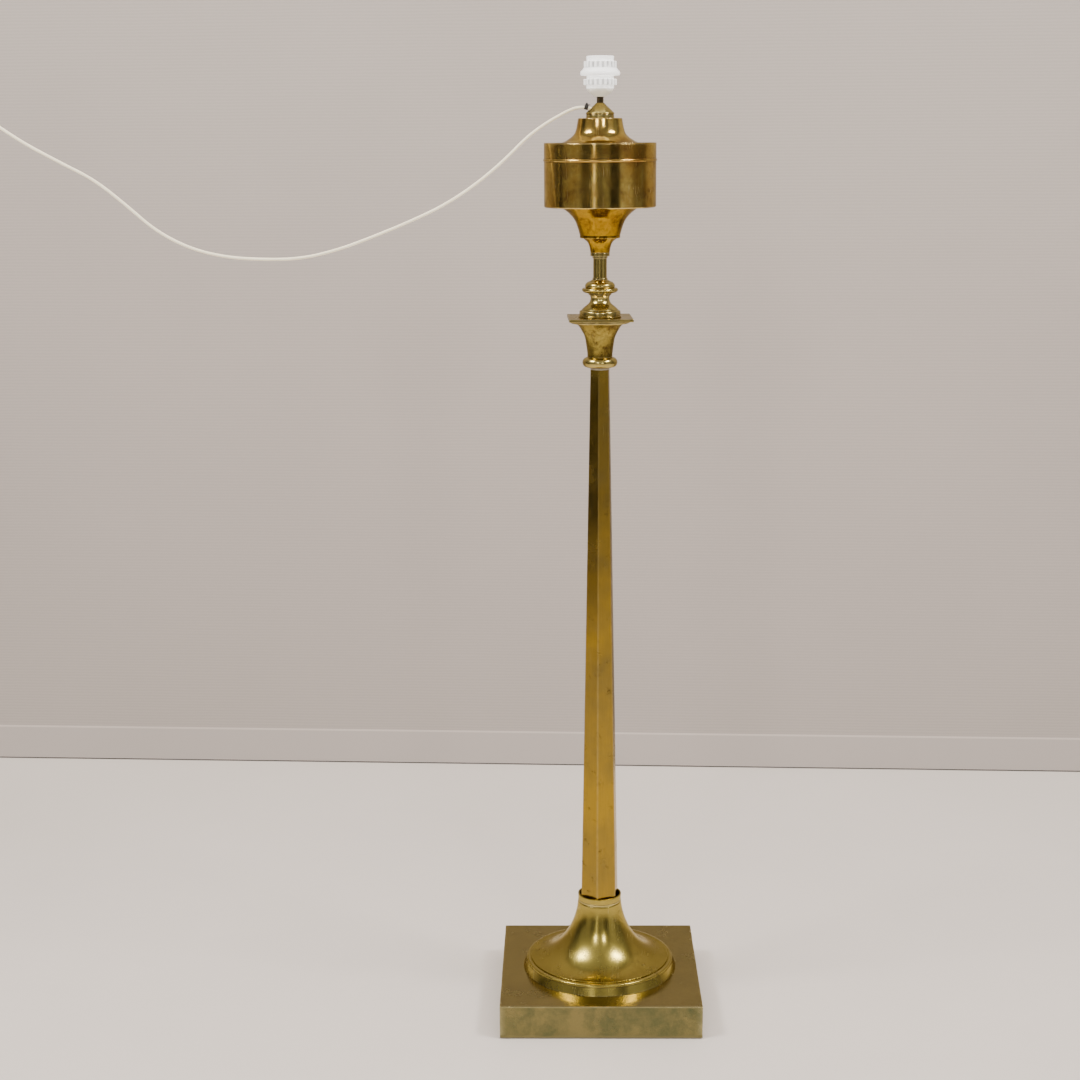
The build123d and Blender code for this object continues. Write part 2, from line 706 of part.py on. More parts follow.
with BuildPart() as plug_pins:
    with BuildSketch(Plane.XY.offset(body_bottom)):
        with Locations((tail_x - pin_spacing / 2, 0), (tail_x + pin_spacing / 2, 0)):
            Circle(pin_radius)
    extrude(amount=-pin_length)
    fillet(plug_pins.edges().group_by(Axis.Z)[0], radius=1.4)
save(plug_pins, "plug_pins")

hook_rod = 2.4
hook_z = coil_z + coil_radius - coil_half_radial - hook_rod - 0.4
hook_back = 26.0
hook_front = -12.0
hook_bend = 6.0
hook_rise = 12.0
with BuildPart() as cord_hook:
    with BuildLine(Plane.YZ.offset(coil_x)) as hook_line:
        FilletPolyline((hook_back, hook_z), (hook_front, hook_z), (hook_front, hook_z + hook_rise),
                       radius=hook_bend)
    hook_wire = hook_line.wires()[0]
    with BuildSketch(Plane(origin=hook_wire @ 0, z_dir=hook_wire % 0)):
        Circle(hook_rod)
    sweep()
    with BuildSketch(Plane.XZ.offset(-hook_back)):
        with Locations((coil_x, hook_z)):
            Circle(15)
    extrude(amount=-3)
    fillet(cord_hook.edges().filter_by(GeomType.CIRCLE).sort_by(SortBy.RADIUS)[-2:], radius=1)
save(cord_hook, "cord_hook")
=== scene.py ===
import bmesh
import bpy
import json
import math
from mathutils import Matrix, Vector, noise


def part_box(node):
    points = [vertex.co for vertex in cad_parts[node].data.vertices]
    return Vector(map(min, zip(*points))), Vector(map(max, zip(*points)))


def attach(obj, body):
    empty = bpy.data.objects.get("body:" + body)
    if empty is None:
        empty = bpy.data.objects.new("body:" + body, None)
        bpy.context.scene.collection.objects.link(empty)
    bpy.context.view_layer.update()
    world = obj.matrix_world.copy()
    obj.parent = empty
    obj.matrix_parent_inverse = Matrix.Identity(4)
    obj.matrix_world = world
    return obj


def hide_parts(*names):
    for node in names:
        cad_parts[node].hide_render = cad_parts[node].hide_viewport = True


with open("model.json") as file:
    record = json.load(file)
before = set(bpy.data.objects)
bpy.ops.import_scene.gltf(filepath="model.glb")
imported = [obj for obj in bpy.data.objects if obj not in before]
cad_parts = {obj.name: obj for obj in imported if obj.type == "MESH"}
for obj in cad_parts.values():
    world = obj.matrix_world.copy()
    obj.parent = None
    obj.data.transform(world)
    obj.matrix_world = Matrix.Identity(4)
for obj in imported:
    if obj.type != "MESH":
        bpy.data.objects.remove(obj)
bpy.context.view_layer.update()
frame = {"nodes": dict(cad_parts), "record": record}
print("stage: frame loaded")

mm = 0.001


def baseOf(node):
    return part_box(node)[0][2]


# camera and cord come first

cameraSettings = {
    "place": (-0.0488, -2.7985, 1.3124),
    "lens": 64.53,
    "sensor": 36.0,
    "down": 11.905,     # degrees below level
    "left": 0.809,      # degrees turned to the left
    "roll": -0.328,
}


def makeCamera(settings):
    data = bpy.data.cameras.new("standCamera")
    data.lens = settings["lens"]
    data.sensor_width = settings["sensor"]
    camera = bpy.data.objects.new("standCamera", data)
    bpy.context.collection.objects.link(camera)
    turn = Matrix.Rotation(math.radians(settings["left"]), 3, "Z")
    tilt = Matrix.Rotation(math.radians(90 - settings["down"]), 3, "X")
    roll = Matrix.Rotation(math.radians(settings["roll"]), 3, "Z")
    camera.rotation_euler = (turn @ tilt @ roll).to_euler()
    camera.location = settings["place"]
    bpy.context.scene.camera = camera


makeCamera(cameraSettings)

flexSettings = {
    "radius": 0.0022,
    "exit": (-0.0145, 0, 1.3446),
    "length": 2.02,
    "route": [          # x and z, from inside the cone cap to just before the coil
        (-0.008, 1.3429), (-0.027, 1.3486), (-0.054, 1.3375), (-0.098, 1.311), (-0.137, 1.272),
        (-0.179, 1.238), (-0.225, 1.209), (-0.274, 1.187), (-0.324, 1.167), (-0.375, 1.1485),
        (-0.428, 1.136), (-0.483, 1.135), (-0.537, 1.1385), (-0.588, 1.151), (-0.636, 1.176),
        (-0.677, 1.213), (-0.721, 1.249), (-0.769, 1.2735), (-0.820, 1.301), (-0.868, 1.334),
    ],
    "coilCentre": (-0.900, 1.326),
    "coilRadii": (0.0264, 0.0219),      # outer layer, inner layer
    "coilAngles": (55.0, 2320.0),       # degrees, from the first touch to where the tail leaves
    "layerChange": 1170.0,
    "turnPitch": 0.0045,
    "pointsPerTurn": 14,
    "tail": [(-0.9222, -0.0100, 1.3130), (-0.9240, -0.0098, 1.3010), (-0.9256, -0.0050, 1.2870),
             (-0.9262, -0.0008, 1.2760), (-0.9262, 0, 1.2600)],
}


def flexPoints(flex):
    points = [(x, 0.0, z) for x, z in flex["route"]]
    centreX, centreZ = flex["coilCentre"]
    first, last = flex["coilAngles"]
    outer, inner = flex["coilRadii"]
    count = round((last - first) / 360 * flex["pointsPerTurn"])
    halfTurns = (flex["layerChange"] - first) / 720
    spread = 1 / math.cos(math.pi / flex["pointsPerTurn"]) ** 0.5     # the spline cuts inside its points
    for index in range(count + 1):
        angle = first + (last - first) * index / count
        share = min(1, max(0, (angle - flex["layerChange"] + 30) / 60))
        radius = (outer + (inner - outer) * share * share * (3 - 2 * share)) * spread
        turned = abs(angle - flex["layerChange"]) / 360
        side = flex["turnPitch"] * (halfTurns - turned)
        bend = math.radians(angle)
        points.append((centreX + radius * math.cos(bend), side, centreZ + radius * math.sin(bend)))
    return points + flex["tail"]


def makeFlex(flex):
    curve = bpy.data.curves.new("flex", "CURVE")
    curve.dimensions = "3D"
    curve.bevel_depth = flex["radius"]
    curve.bevel_resolution = 5
    curve.resolution_u = 10
    curve.use_fill_caps = True
    spline = curve.splines.new("NURBS")
    points = flexPoints(flex)
    spline.points.add(len(points) - 1)
    for target, place in zip(spline.points, points):
        target.co = (*place, 1)
    spline.order_u = 3
    spline.use_endpoint_u = True
    piece = bpy.data.objects.new("flex", curve)
    bpy.context.collection.objects.link(piece)
    return piece


flexPiece = makeFlex(flexSettings)
print("stage: camera and flex")

# small helpers for node trees


def put(tree, kind, inputs=None, **settings):
    node = tree.nodes.new(kind)
    for key, value in settings.items():
        setattr(node, key, value)
    for key, value in (inputs or {}).items():
        if isinstance(value, bpy.types.NodeSocket):
            tree.links.new(value, node.inputs[key])
        else:
            node.inputs[key].default_value = value
    return node


def sums(tree, operation, first, second=None, third=None, clamp=False):
    given = {0: first}
    if second is not None:
        given[1] = second
    if third is not None:
        given[2] = third
    return put(tree, "ShaderNodeMath", given, operation=operation, use_clamp=clamp).outputs[0]


def spread(tree, value, low, high, toLow=0.0, toHigh=1.0):
    inputs = {"Value": value, "From Min": low, "From Max": high, "To Min": toLow, "To Max": toHigh}
    return put(tree, "ShaderNodeMapRange", inputs).outputs[0]


def blendColour(tree, share, first, second, kind="MIX"):
    node = put(tree, "ShaderNodeMix", data_type="RGBA", blend_type=kind)
    for index, value in ((0, share), (6, first), (7, second)):
        if isinstance(value, bpy.types.NodeSocket):
            tree.links.new(value, node.inputs[index])
        elif index == 0:
            node.inputs[index].default_value = value
        else:
            node.inputs[index].default_value = (*value, 1)
    return node.outputs[2]


def noiseOf(tree, vector, scale, detail=3.0, roughness=0.55, distortion=0.0):
    inputs = {"Vector": vector, "Scale": scale, "Detail": detail, "Roughness": roughness,
              "Distortion": distortion}
    return put(tree, "ShaderNodeTexNoise", inputs).outputs[0]


def startGroup(name, inputs, outputs):
    group = bpy.data.node_groups.new(name, "ShaderNodeTree")
    for label, kind, value in inputs:
        socket = group.interface.new_socket(label, in_out="INPUT", socket_type="NodeSocket" + kind)
        if value is not None:
            socket.default_value = value
    for label in outputs:
        group.interface.new_socket(label, in_out="OUTPUT", socket_type="NodeSocketFloat")
    return group, group.nodes.new("NodeGroupInput"), group.nodes.new("NodeGroupOutput")


def makePatinaGroup():
    group, given, result = startGroup(
        "patinaCloud", [("Vector", "Vector", None), ("Size", "Float", 20), ("Cover", "Float", 0.4),
                        ("Soft", "Float", 0.12)], ["Mask"])
    broad = noiseOf(group, given.outputs["Vector"], given.outputs["Size"], 7, 0.62, 0.4)
    fineScale = sums(group, "MULTIPLY", given.outputs["Size"], 5.1)
    fine = noiseOf(group, given.outputs["Vector"], fineScale, 4, 0.6)
    both = sums(group, "ADD", sums(group, "MULTIPLY", broad, 0.72), sums(group, "MULTIPLY", fine, 0.28))
    edge = spread(group, given.outputs["Cover"], 0, 1, 0.68, 0.32)
    low = sums(group, "SUBTRACT", edge, given.outputs["Soft"])
    high = sums(group, "ADD", edge, given.outputs["Soft"])
    group.links.new(spread(group, both, low, high), result.inputs["Mask"])
    return group


def makeLatheGroup():
    group, given, result = startGroup(
        "latheLines", [("Vector", "Vector", None), ("Fine", "Float", 900)], ["Height"])
    parts = put(group, "ShaderNodeSeparateXYZ", {0: given.outputs["Vector"]})
    across = sums(group, "ADD", sums(group, "MULTIPLY", parts.outputs[0], parts.outputs[0]),
                  sums(group, "MULTIPLY", parts.outputs[1], parts.outputs[1]))
    radius = sums(group, "SQRT", across)
    lined = put(group, "ShaderNodeCombineXYZ", {0: radius, 1: parts.outputs[2], 2: 0.0}).outputs[0]
    coarse = noiseOf(group, lined, given.outputs["Fine"], 3, 0.7)
    group.links.new(coarse, result.inputs["Height"])
    return group


def makeScratchGroup():
    group, given, result = startGroup(
        "scratches", [("Vector", "Vector", None), ("Fine", "Float", 160), ("Width", "Float", 0.012)],
        ["Mask"])
    marks = None
    for turn, patch in (((0.4, 0.9, 0.2), 33), ((1.3, 0.2, 0.7), 41), ((0.1, 1.5, 1.1), 52)):
        turned = put(group, "ShaderNodeMapping", {"Vector": given.outputs["Vector"], "Rotation": turn,
                                                  "Scale": (1, 0.05, 0.05)}).outputs[0]
        lines = noiseOf(group, turned, given.outputs["Fine"], 1, 0.5, 0.3)
        away = sums(group, "ABSOLUTE", sums(group, "SUBTRACT", lines, 0.5))
        faded = sums(group, "DIVIDE", away, given.outputs["Width"])
        line = sums(group, "SUBTRACT", 1.0, faded, clamp=True)
        gaps = spread(group, noiseOf(group, given.outputs["Vector"], patch, 2, 0.5), 0.55, 0.66)
        line = sums(group, "MULTIPLY", line, gaps)
        marks = line if marks is None else sums(group, "MAXIMUM", marks, line)
    group.links.new(marks, result.inputs["Mask"])
    return group


def makeGrainGroup():
    group, given, result = startGroup(
        "drawnGrain", [("Vector", "Vector", None), ("Fine", "Float", 600), ("Stretch", "Float", 0.02)],
        ["Height"])
    shape = put(group, "ShaderNodeCombineXYZ", {0: 1.0, 1: 1.0, 2: given.outputs["Stretch"]}).outputs[0]
    drawn = put(group, "ShaderNodeVectorMath", {0: given.outputs["Vector"], 1: shape},
                operation="MULTIPLY").outputs[0]
    group.links.new(noiseOf(group, drawn, given.outputs["Fine"], 3, 0.6), result.inputs["Height"])
    return group


def makeWearDirtShadeGroup():
    group, given, result = startGroup("edgeWearDirtShade", [("Vector", "Vector", None)], ["Edge", "Groove"])
    wearDirtShade = put(group, "ShaderNodeAttribute", attribute_name="wearDirtShade").outputs["Fac"]
    broken = spread(group, noiseOf(group, given.outputs["Vector"], 90, 3, 0.5), 0.3, 0.65, 0.45, 1.0)
    edge = sums(group, "MULTIPLY", sums(group, "MAXIMUM", wearDirtShade, 0.0), broken, clamp=True)
    # Groove marks hollows and flutes: the brass finishes darken them as dirt, the plain finishes as painted
    # shade
    sunk = sums(group, "MAXIMUM", sums(group, "MULTIPLY", wearDirtShade, -1.0), 0.0)
    groove = sums(group, "MULTIPLY", sunk, broken, clamp=True)
    group.links.new(edge, result.inputs["Edge"])
    group.links.new(groove, result.inputs["Groove"])
    return group


patinaGroup = makePatinaGroup()
latheGroup = makeLatheGroup()
scratchGroup = makeScratchGroup()
grainGroup = makeGrainGroup()
wearDirtShadeGroup = makeWearDirtShadeGroup()


def placeGroup(tree, group, **inputs):
    node = tree.nodes.new("ShaderNodeGroup")
    node.node_tree = group
    for key, value in inputs.items():
        if isinstance(value, bpy.types.NodeSocket):
            tree.links.new(value, node.inputs[key])
        else:
            node.inputs[key].default_value = value
    return node


def startMaterial(name):
    material = bpy.data.materials.new(name)
    material.use_nodes = True
    tree = material.node_tree
    shader = tree.nodes["Principled BSDF"]
    where = put(tree, "ShaderNodeTexCoord").outputs["Object"]
    return material, tree, shader, where


def bumpFrom(tree, shader, height, strength, distance):
    bump = put(tree, "ShaderNodeBump", {"Height": height, "Strength": strength, "Distance": distance})
    tree.links.new(bump.outputs[0], shader.inputs["Normal"])


# brass finishes: one function, one dictionary for each finish

brassFinishes = {
    "drumBrass": {
        "base": (0.66, 0.49, 0.130), "deep": (0.44, 0.25, 0.050), "stain": (0.17, 0.075, 0.020),
        "pale": (0.80, 0.65, 0.30), "rough": (0.06, 0.17), "patina": (11, 0.50, 0.10), "dark": 0.85,
        "stains": (20, 0.34, 0.10), "fine": 700, "lineDepth": 0.00002, "scratch": 0.9, "stretch": 0,
    },
    "turnedBrass": {
        "base": (0.50, 0.405, 0.140), "deep": (0.33, 0.245, 0.060), "stain": (0.09, 0.055, 0.018),
        "pale": (0.78, 0.67, 0.36), "rough": (0.12, 0.25), "patina": (26, 0.44, 0.14), "dark": 0.75,
        "stains": (60, 0.18, 0.06), "fine": 1500, "lineDepth": 0.00003, "scratch": 0.35, "stretch": 0,
    },
    "capitalBrass": {
        "base": (0.34, 0.26, 0.054), "deep": (0.22, 0.148, 0.025), "stain": (0.06, 0.030, 0.009),
        "pale": (0.70, 0.58, 0.26), "rough": (0.14, 0.28), "patina": (30, 0.46, 0.12), "dark": 0.9,
        "stains": (48, 0.34, 0.08), "fine": 1500, "lineDepth": 0.00003, "scratch": 0.5, "stretch": 0,
    },
    "footBrass": {
        "base": (0.46, 0.365, 0.085), "deep": (0.33, 0.25, 0.050), "stain": (0.10, 0.07, 0.025),
        "pale": (0.76, 0.66, 0.34), "rough": (0.14, 0.27), "patina": (14, 0.42, 0.18), "dark": 0.6,
        "stains": (40, 0.14, 0.07), "fine": 1300, "lineDepth": 0.00003, "scratch": 0.6, "stretch": 0,
    },
    "amberBrass": {
        "base": (0.46, 0.27, 0.012), "deep": (0.29, 0.145, 0.008), "stain": (0.07, 0.030, 0.005),
        "pale": (0.70, 0.52, 0.16), "rough": (0.09, 0.22), "patina": (30, 0.44, 0.12), "dark": 0.9,
        "stains": (40, 0.36, 0.08), "fine": 1500, "lineDepth": 0.00003, "scratch": 0.3, "stretch": 0,
    },
    "columnBrass": {
        "base": (0.345, 0.220, 0.024), "deep": (0.215, 0.152, 0.040), "stain": (0.070, 0.042, 0.014),
        "pale": (0.52, 0.41, 0.17), "rough": (0.12, 0.26), "patina": (4.5, 0.50, 0.10), "dark": 0.7,
        "stains": (52, 0.14, 0.05), "fine": 900, "lineDepth": 0.00003, "scratch": 0.3, "stretch": 0.02,
    },
    "plinthBrass": {
        "base": (0.40, 0.325, 0.130), "deep": (0.33, 0.275, 0.115), "stain": (0.22, 0.19, 0.085),
        "pale": (0.56, 0.49, 0.25), "rough": (0.11, 0.24), "patina": (13, 0.50, 0.22), "dark": 0.5,
        "stains": (30, 0.20, 0.16), "fine": 500, "lineDepth": 0.00001, "scratch": 0.06, "stretch": 1,
        "sides": {"below": 0.0495, "foot": 0.0025, "base": (0.215, 0.178, 0.070),
                  "deep": (0.085, 0.096, 0.044)},
    },
}


def makeBrass(name, finish):
    material, tree, shader, where = startMaterial(name)
    patinaSize, patinaCover, patinaSoft = finish["patina"]
    stainSize, stainCover, stainSoft = finish["stains"]
    patina = placeGroup(tree, patinaGroup, Vector=where, Size=patinaSize, Cover=patinaCover,
                        Soft=patinaSoft).outputs[0]
    stains = placeGroup(tree, patinaGroup, Vector=where, Size=stainSize, Cover=stainCover,
                        Soft=stainSoft).outputs[0]
    wearDirtShade = placeGroup(tree, wearDirtShadeGroup, Vector=where)
    scratched = placeGroup(tree, scratchGroup, Vector=where).outputs[0]
    scratched = sums(tree, "MULTIPLY", scratched, finish["scratch"])
    if finish["stretch"]:
        grain = placeGroup(tree, grainGroup, Vector=where, Fine=finish["fine"],
                           Stretch=finish["stretch"]).outputs[0]
    else:
        grain = placeGroup(tree, latheGroup, Vector=where, Fine=finish["fine"]).outputs[0]
    colour = blendColour(tree, patina, finish["base"], finish["deep"])
    colour = blendColour(tree, sums(tree, "MULTIPLY", stains, finish["dark"]), colour, finish["stain"])
    if "sides" in finish:     # the upright faces have gone green
        sides = finish["sides"]
        height = put(tree, "ShaderNodeSeparateXYZ", {0: where}).outputs[2]
        green = placeGroup(tree, patinaGroup, Vector=where, Size=15, Cover=0.46, Soft=0.11).outputs[0]
        dull = blendColour(tree, green, sides["base"], sides["deep"])
        lower = spread(tree, height, sides["below"], sides["below"] + 0.0012, 1.0, 0.0)
        colour = blendColour(tree, lower, colour, dull)
        # painted shade: the lowest few mm of the plinth sides darken towards the stain colour
        foot = spread(tree, height, sides["foot"], sides["foot"] + 0.002, 0.8, 0.0)
        colour = blendColour(tree, foot, colour, finish["stain"])
    grainShade = spread(tree, grain, 0.3, 0.7, 0.92, 1.06)
    shade = put(tree, "ShaderNodeCombineColor", {0: grainShade, 1: grainShade, 2: grainShade}).outputs[0]
    colour = blendColour(tree, 1.0, colour, shade, "MULTIPLY")
    grooves = sums(tree, "MULTIPLY", wearDirtShade.outputs["Groove"], 0.85)
    colour = blendColour(tree, grooves, colour, finish["stain"])
    edges = sums(tree, "MULTIPLY", wearDirtShade.outputs["Edge"], 0.5)
    colour = blendColour(tree, edges, colour, finish["pale"])
    colour = blendColour(tree, sums(tree, "MULTIPLY", scratched, 0.35), colour, finish["pale"])
    tree.links.new(colour, shader.inputs["Base Color"])
    low, high = finish["rough"]
    smudge = noiseOf(tree, where, 22, 5, 0.6)
    rough = spread(tree, smudge, 0.3, 0.7, low, high)
    rough = sums(tree, "ADD", rough, sums(tree, "MULTIPLY", patina, 0.05))
    rough = sums(tree, "ADD", rough, sums(tree, "MULTIPLY", stains, 0.12))
    rough = sums(tree, "ADD", rough, sums(tree, "MULTIPLY", scratched, 0.12), clamp=True)
    tree.links.new(rough, shader.inputs["Roughness"])
    height = sums(tree, "SUBTRACT", grain, sums(tree, "MULTIPLY", scratched, 0.8))
    bumpFrom(tree, shader, height, 0.5, finish["lineDepth"])
    shader.inputs["Metallic"].default_value = 1.0
    shader.inputs["Specular Tint"].default_value = (0.86, 0.79, 0.60, 1)
    return material


# everything that isn't brass: two colours, roughness range, size of its cloud, metal, bump depth

plainFinishes = {
    "holderPlastic": {"base": (0.95, 0.945, 0.93), "second": (0.90, 0.89, 0.86), "rough": (0.22, 0.34),
                      "size": 70, "metal": 0, "depth": 0.00001, "coat": 0.3, "paintedGlow": 1.0},
    "capPlastic": {"base": (0.90, 0.885, 0.82), "second": (0.84, 0.81, 0.72), "rough": (0.24, 0.36),
                   "size": 60, "metal": 0, "depth": 0.00001, "coat": 0.3, "paintedGlow": 0.3},
    "flexSheath": {"base": (0.95, 0.87, 0.66), "second": (0.89, 0.79, 0.58), "rough": (0.34, 0.48),
                   "size": 40, "metal": 0, "depth": 0.00002, "coat": 0, "paintedGlow": 0.35},
    "plugPlastic": {"base": (0.79, 0.76, 0.66), "second": (0.73, 0.69, 0.58), "rough": (0.28, 0.42),
                    "size": 80, "metal": 0, "depth": 0.00002, "coat": 0.1},
    "gripPlastic": {"base": (0.018, 0.017, 0.016), "second": (0.035, 0.033, 0.03), "rough": (0.38, 0.55),
                    "size": 300, "metal": 0, "depth": 0.00003, "coat": 0},
    "insulator": {"base": (0.72, 0.70, 0.65), "second": (0.62, 0.60, 0.55), "rough": (0.45, 0.62),
                  "size": 240, "metal": 0, "depth": 0.00004, "coat": 0},
    "felt": {"base": (0.020, 0.020, 0.019), "second": (0.040, 0.038, 0.035), "rough": (0.85, 0.98),
             "size": 900, "metal": 0, "depth": 0.0004, "coat": 0},
    "leadInsulation": {"base": (0.05, 0.11, 0.30), "second": (0.04, 0.09, 0.24), "rough": (0.3, 0.45),
                       "size": 200, "metal": 0, "depth": 0.00001, "coat": 0},
    "castIron": {"base": (0.045, 0.043, 0.040), "second": (0.10, 0.055, 0.03), "rough": (0.55, 0.80),
                 "size": 120, "metal": 0, "depth": 0.0006, "coat": 0},
    "zincSteel": {"base": (0.52, 0.52, 0.53), "second": (0.38, 0.37, 0.35), "rough": (0.28, 0.48),
                  "size": 90, "metal": 1, "depth": 0.00003, "coat": 0},
    "nickel": {"base": (0.72, 0.69, 0.62), "second": (0.60, 0.55, 0.46), "rough": (0.16, 0.30),
               "size": 160, "metal": 1, "depth": 0.00001, "coat": 0},
    "paleMetal": {"base": (0.62, 0.58, 0.49), "second": (0.36, 0.31, 0.22), "rough": (0.35, 0.55),
                  "size": 220, "metal": 1, "depth": 0.00004, "coat": 0},
    "blackSteel": {"base": (0.030, 0.028, 0.024), "second": (0.11, 0.075, 0.03), "rough": (0.35, 0.55),
                   "size": 260, "metal": 1, "depth": 0.00003, "coat": 0},
}


def makePlain(name, finish):
    material, tree, shader, where = startMaterial(name)
    cloud = placeGroup(tree, patinaGroup, Vector=where, Size=finish["size"], Cover=0.45,
                       Soft=0.16).outputs[0]
    wearDirtShade = placeGroup(tree, wearDirtShadeGroup, Vector=where)
    colour = blendColour(tree, cloud, finish["base"], finish["second"])
    # painted shade: hollows and flutes darken towards a third of the second colour
    dark = tuple(value * 0.3 for value in finish["second"])
    colour = blendColour(tree, sums(tree, "MULTIPLY", wearDirtShade.outputs["Groove"], 0.95), colour, dark)
    tree.links.new(colour, shader.inputs["Base Color"])
    low, high = finish["rough"]
    smudge = noiseOf(tree, where, finish["size"] * 0.7, 4, 0.6)
    tree.links.new(spread(tree, smudge, 0.3, 0.7, low, high), shader.inputs["Roughness"])
    fine = noiseOf(tree, where, finish["size"] * 9, 3, 0.6)
    bumpFrom(tree, shader, fine, 0.5, finish["depth"])
    shader.inputs["Metallic"].default_value = finish["metal"]
    shader.inputs["Coat Weight"].default_value = finish["coat"]
    if finish.get("paintedGlow"):     # painted glow: the pale plastic emits its own colour, as if lit from inside
        tree.links.new(colour, shader.inputs["Emission Color"])
        shader.inputs["Emission Strength"].default_value = finish["paintedGlow"]
    return material


materials = {name: makeBrass(name, finish) for name, finish in brassFinishes.items()}
materials.update({name: makePlain(name, finish) for name, finish in plainFinishes.items()})
print("stage: materials")

# geometry trees


def startTree(name, inputs):
    tree = bpy.data.node_groups.new(name, "GeometryNodeTree")
    keys = {}
    tree.interface.new_socket("Geometry", in_out="INPUT", socket_type="NodeSocketGeometry")
    for label, kind in inputs:
        socket = tree.interface.new_socket(label, in_out="INPUT", socket_type="NodeSocket" + kind)
        keys[label] = socket.identifier
    tree.interface.new_socket("Geometry", in_out="OUTPUT", socket_type="NodeSocketGeometry")
    return tree, keys, tree.nodes.new("NodeGroupInput"), tree.nodes.new("NodeGroupOutput")


def passes(tree, value, operation, limit):
    return put(tree, "FunctionNodeCompare", {0: value, 1: limit}, operation=operation).outputs[0]


def endTree(tree, given, result, geometry):
    smooth = put(tree, "GeometryNodeSetShadeSmooth", {"Geometry": geometry}).outputs[0]
    real = put(tree, "GeometryNodeRealizeInstances", {"Geometry": smooth}).outputs[0]
    finished = put(tree, "GeometryNodeSetMaterial", {"Geometry": real,
                                                     "Material": given.outputs["Finish"]})
    tree.links.new(finished.outputs[0], result.inputs[0])


def makeTurnedTree():
    tree, keys, given, result = startTree("turnedBody", [("Segments", "Int"), ("Finish", "Material")])
    profile = put(tree, "GeometryNodeMeshToCurve", {0: given.outputs[0]}).outputs[0]
    circle = put(tree, "GeometryNodeCurvePrimitiveCircle",
                 {"Resolution": given.outputs["Segments"], "Radius": mm}).outputs[0]
    upright = put(tree, "GeometryNodeSetCurveNormal", {"Curve": circle}, mode="Z_UP").outputs[0]
    body = put(tree, "GeometryNodeCurveToMesh", {"Curve": upright, "Profile Curve": profile}).outputs[0]
    endTree(tree, given, result, body)
    return tree, keys


def makeThreadTree():
    labels = ("Pitch", "Depth", "Low", "High", "Least", "Most")
    tree, keys, given, result = startTree("threadTurns", [(label, "Float") for label in labels]
                                          + [("Finish", "Material")])
    value = given.outputs
    place = put(tree, "GeometryNodeInputPosition").outputs[0]
    parts = put(tree, "ShaderNodeSeparateXYZ", {0: place}).outputs
    flat = put(tree, "ShaderNodeCombineXYZ", {0: parts[0], 1: parts[1], 2: 0.0}).outputs[0]
    radius = put(tree, "ShaderNodeVectorMath", {0: flat}, operation="LENGTH").outputs["Value"]
    angle = sums(tree, "ARCTAN2", parts[1], parts[0])
    climb = sums(tree, "MULTIPLY", sums(tree, "DIVIDE", parts[2], value["Pitch"]), math.tau)
    wave = sums(tree, "SINE", sums(tree, "SUBTRACT", climb, angle))
    sharp = sums(tree, "MULTIPLY", sums(tree, "ADD", wave, 0.35), 1.6, clamp=True)
    amount = sums(tree, "MULTIPLY", sums(tree, "SUBTRACT", sharp, 1.0), value["Depth"])
    climbed = sums(tree, "SUBTRACT", parts[2], value["Low"])
    runIn = sums(tree, "DIVIDE", climbed, value["Pitch"], clamp=True)
    left = sums(tree, "SUBTRACT", value["High"], parts[2])
    runOut = sums(tree, "DIVIDE", left, value["Pitch"], clamp=True)
    amount = sums(tree, "MULTIPLY", amount, sums(tree, "MULTIPLY", runIn, runOut))
    outward = put(tree, "ShaderNodeVectorMath", {0: flat}, operation="NORMALIZE").outputs[0]
    shift = put(tree, "ShaderNodeVectorMath", {0: outward, "Scale": amount},
                operation="SCALE").outputs[0]
    more = passes(tree, radius, "GREATER_THAN", value["Least"])
    less = passes(tree, radius, "LESS_THAN", value["Most"])
    chosen = put(tree, "FunctionNodeBooleanMath", {0: more, 1: less}, operation="AND").outputs[0]
    moved = put(tree, "GeometryNodeSetPosition", {"Geometry": value[0], "Selection": chosen,
                                                  "Offset": shift}).outputs[0]
    endTree(tree, given, result, moved)
    return tree, keys


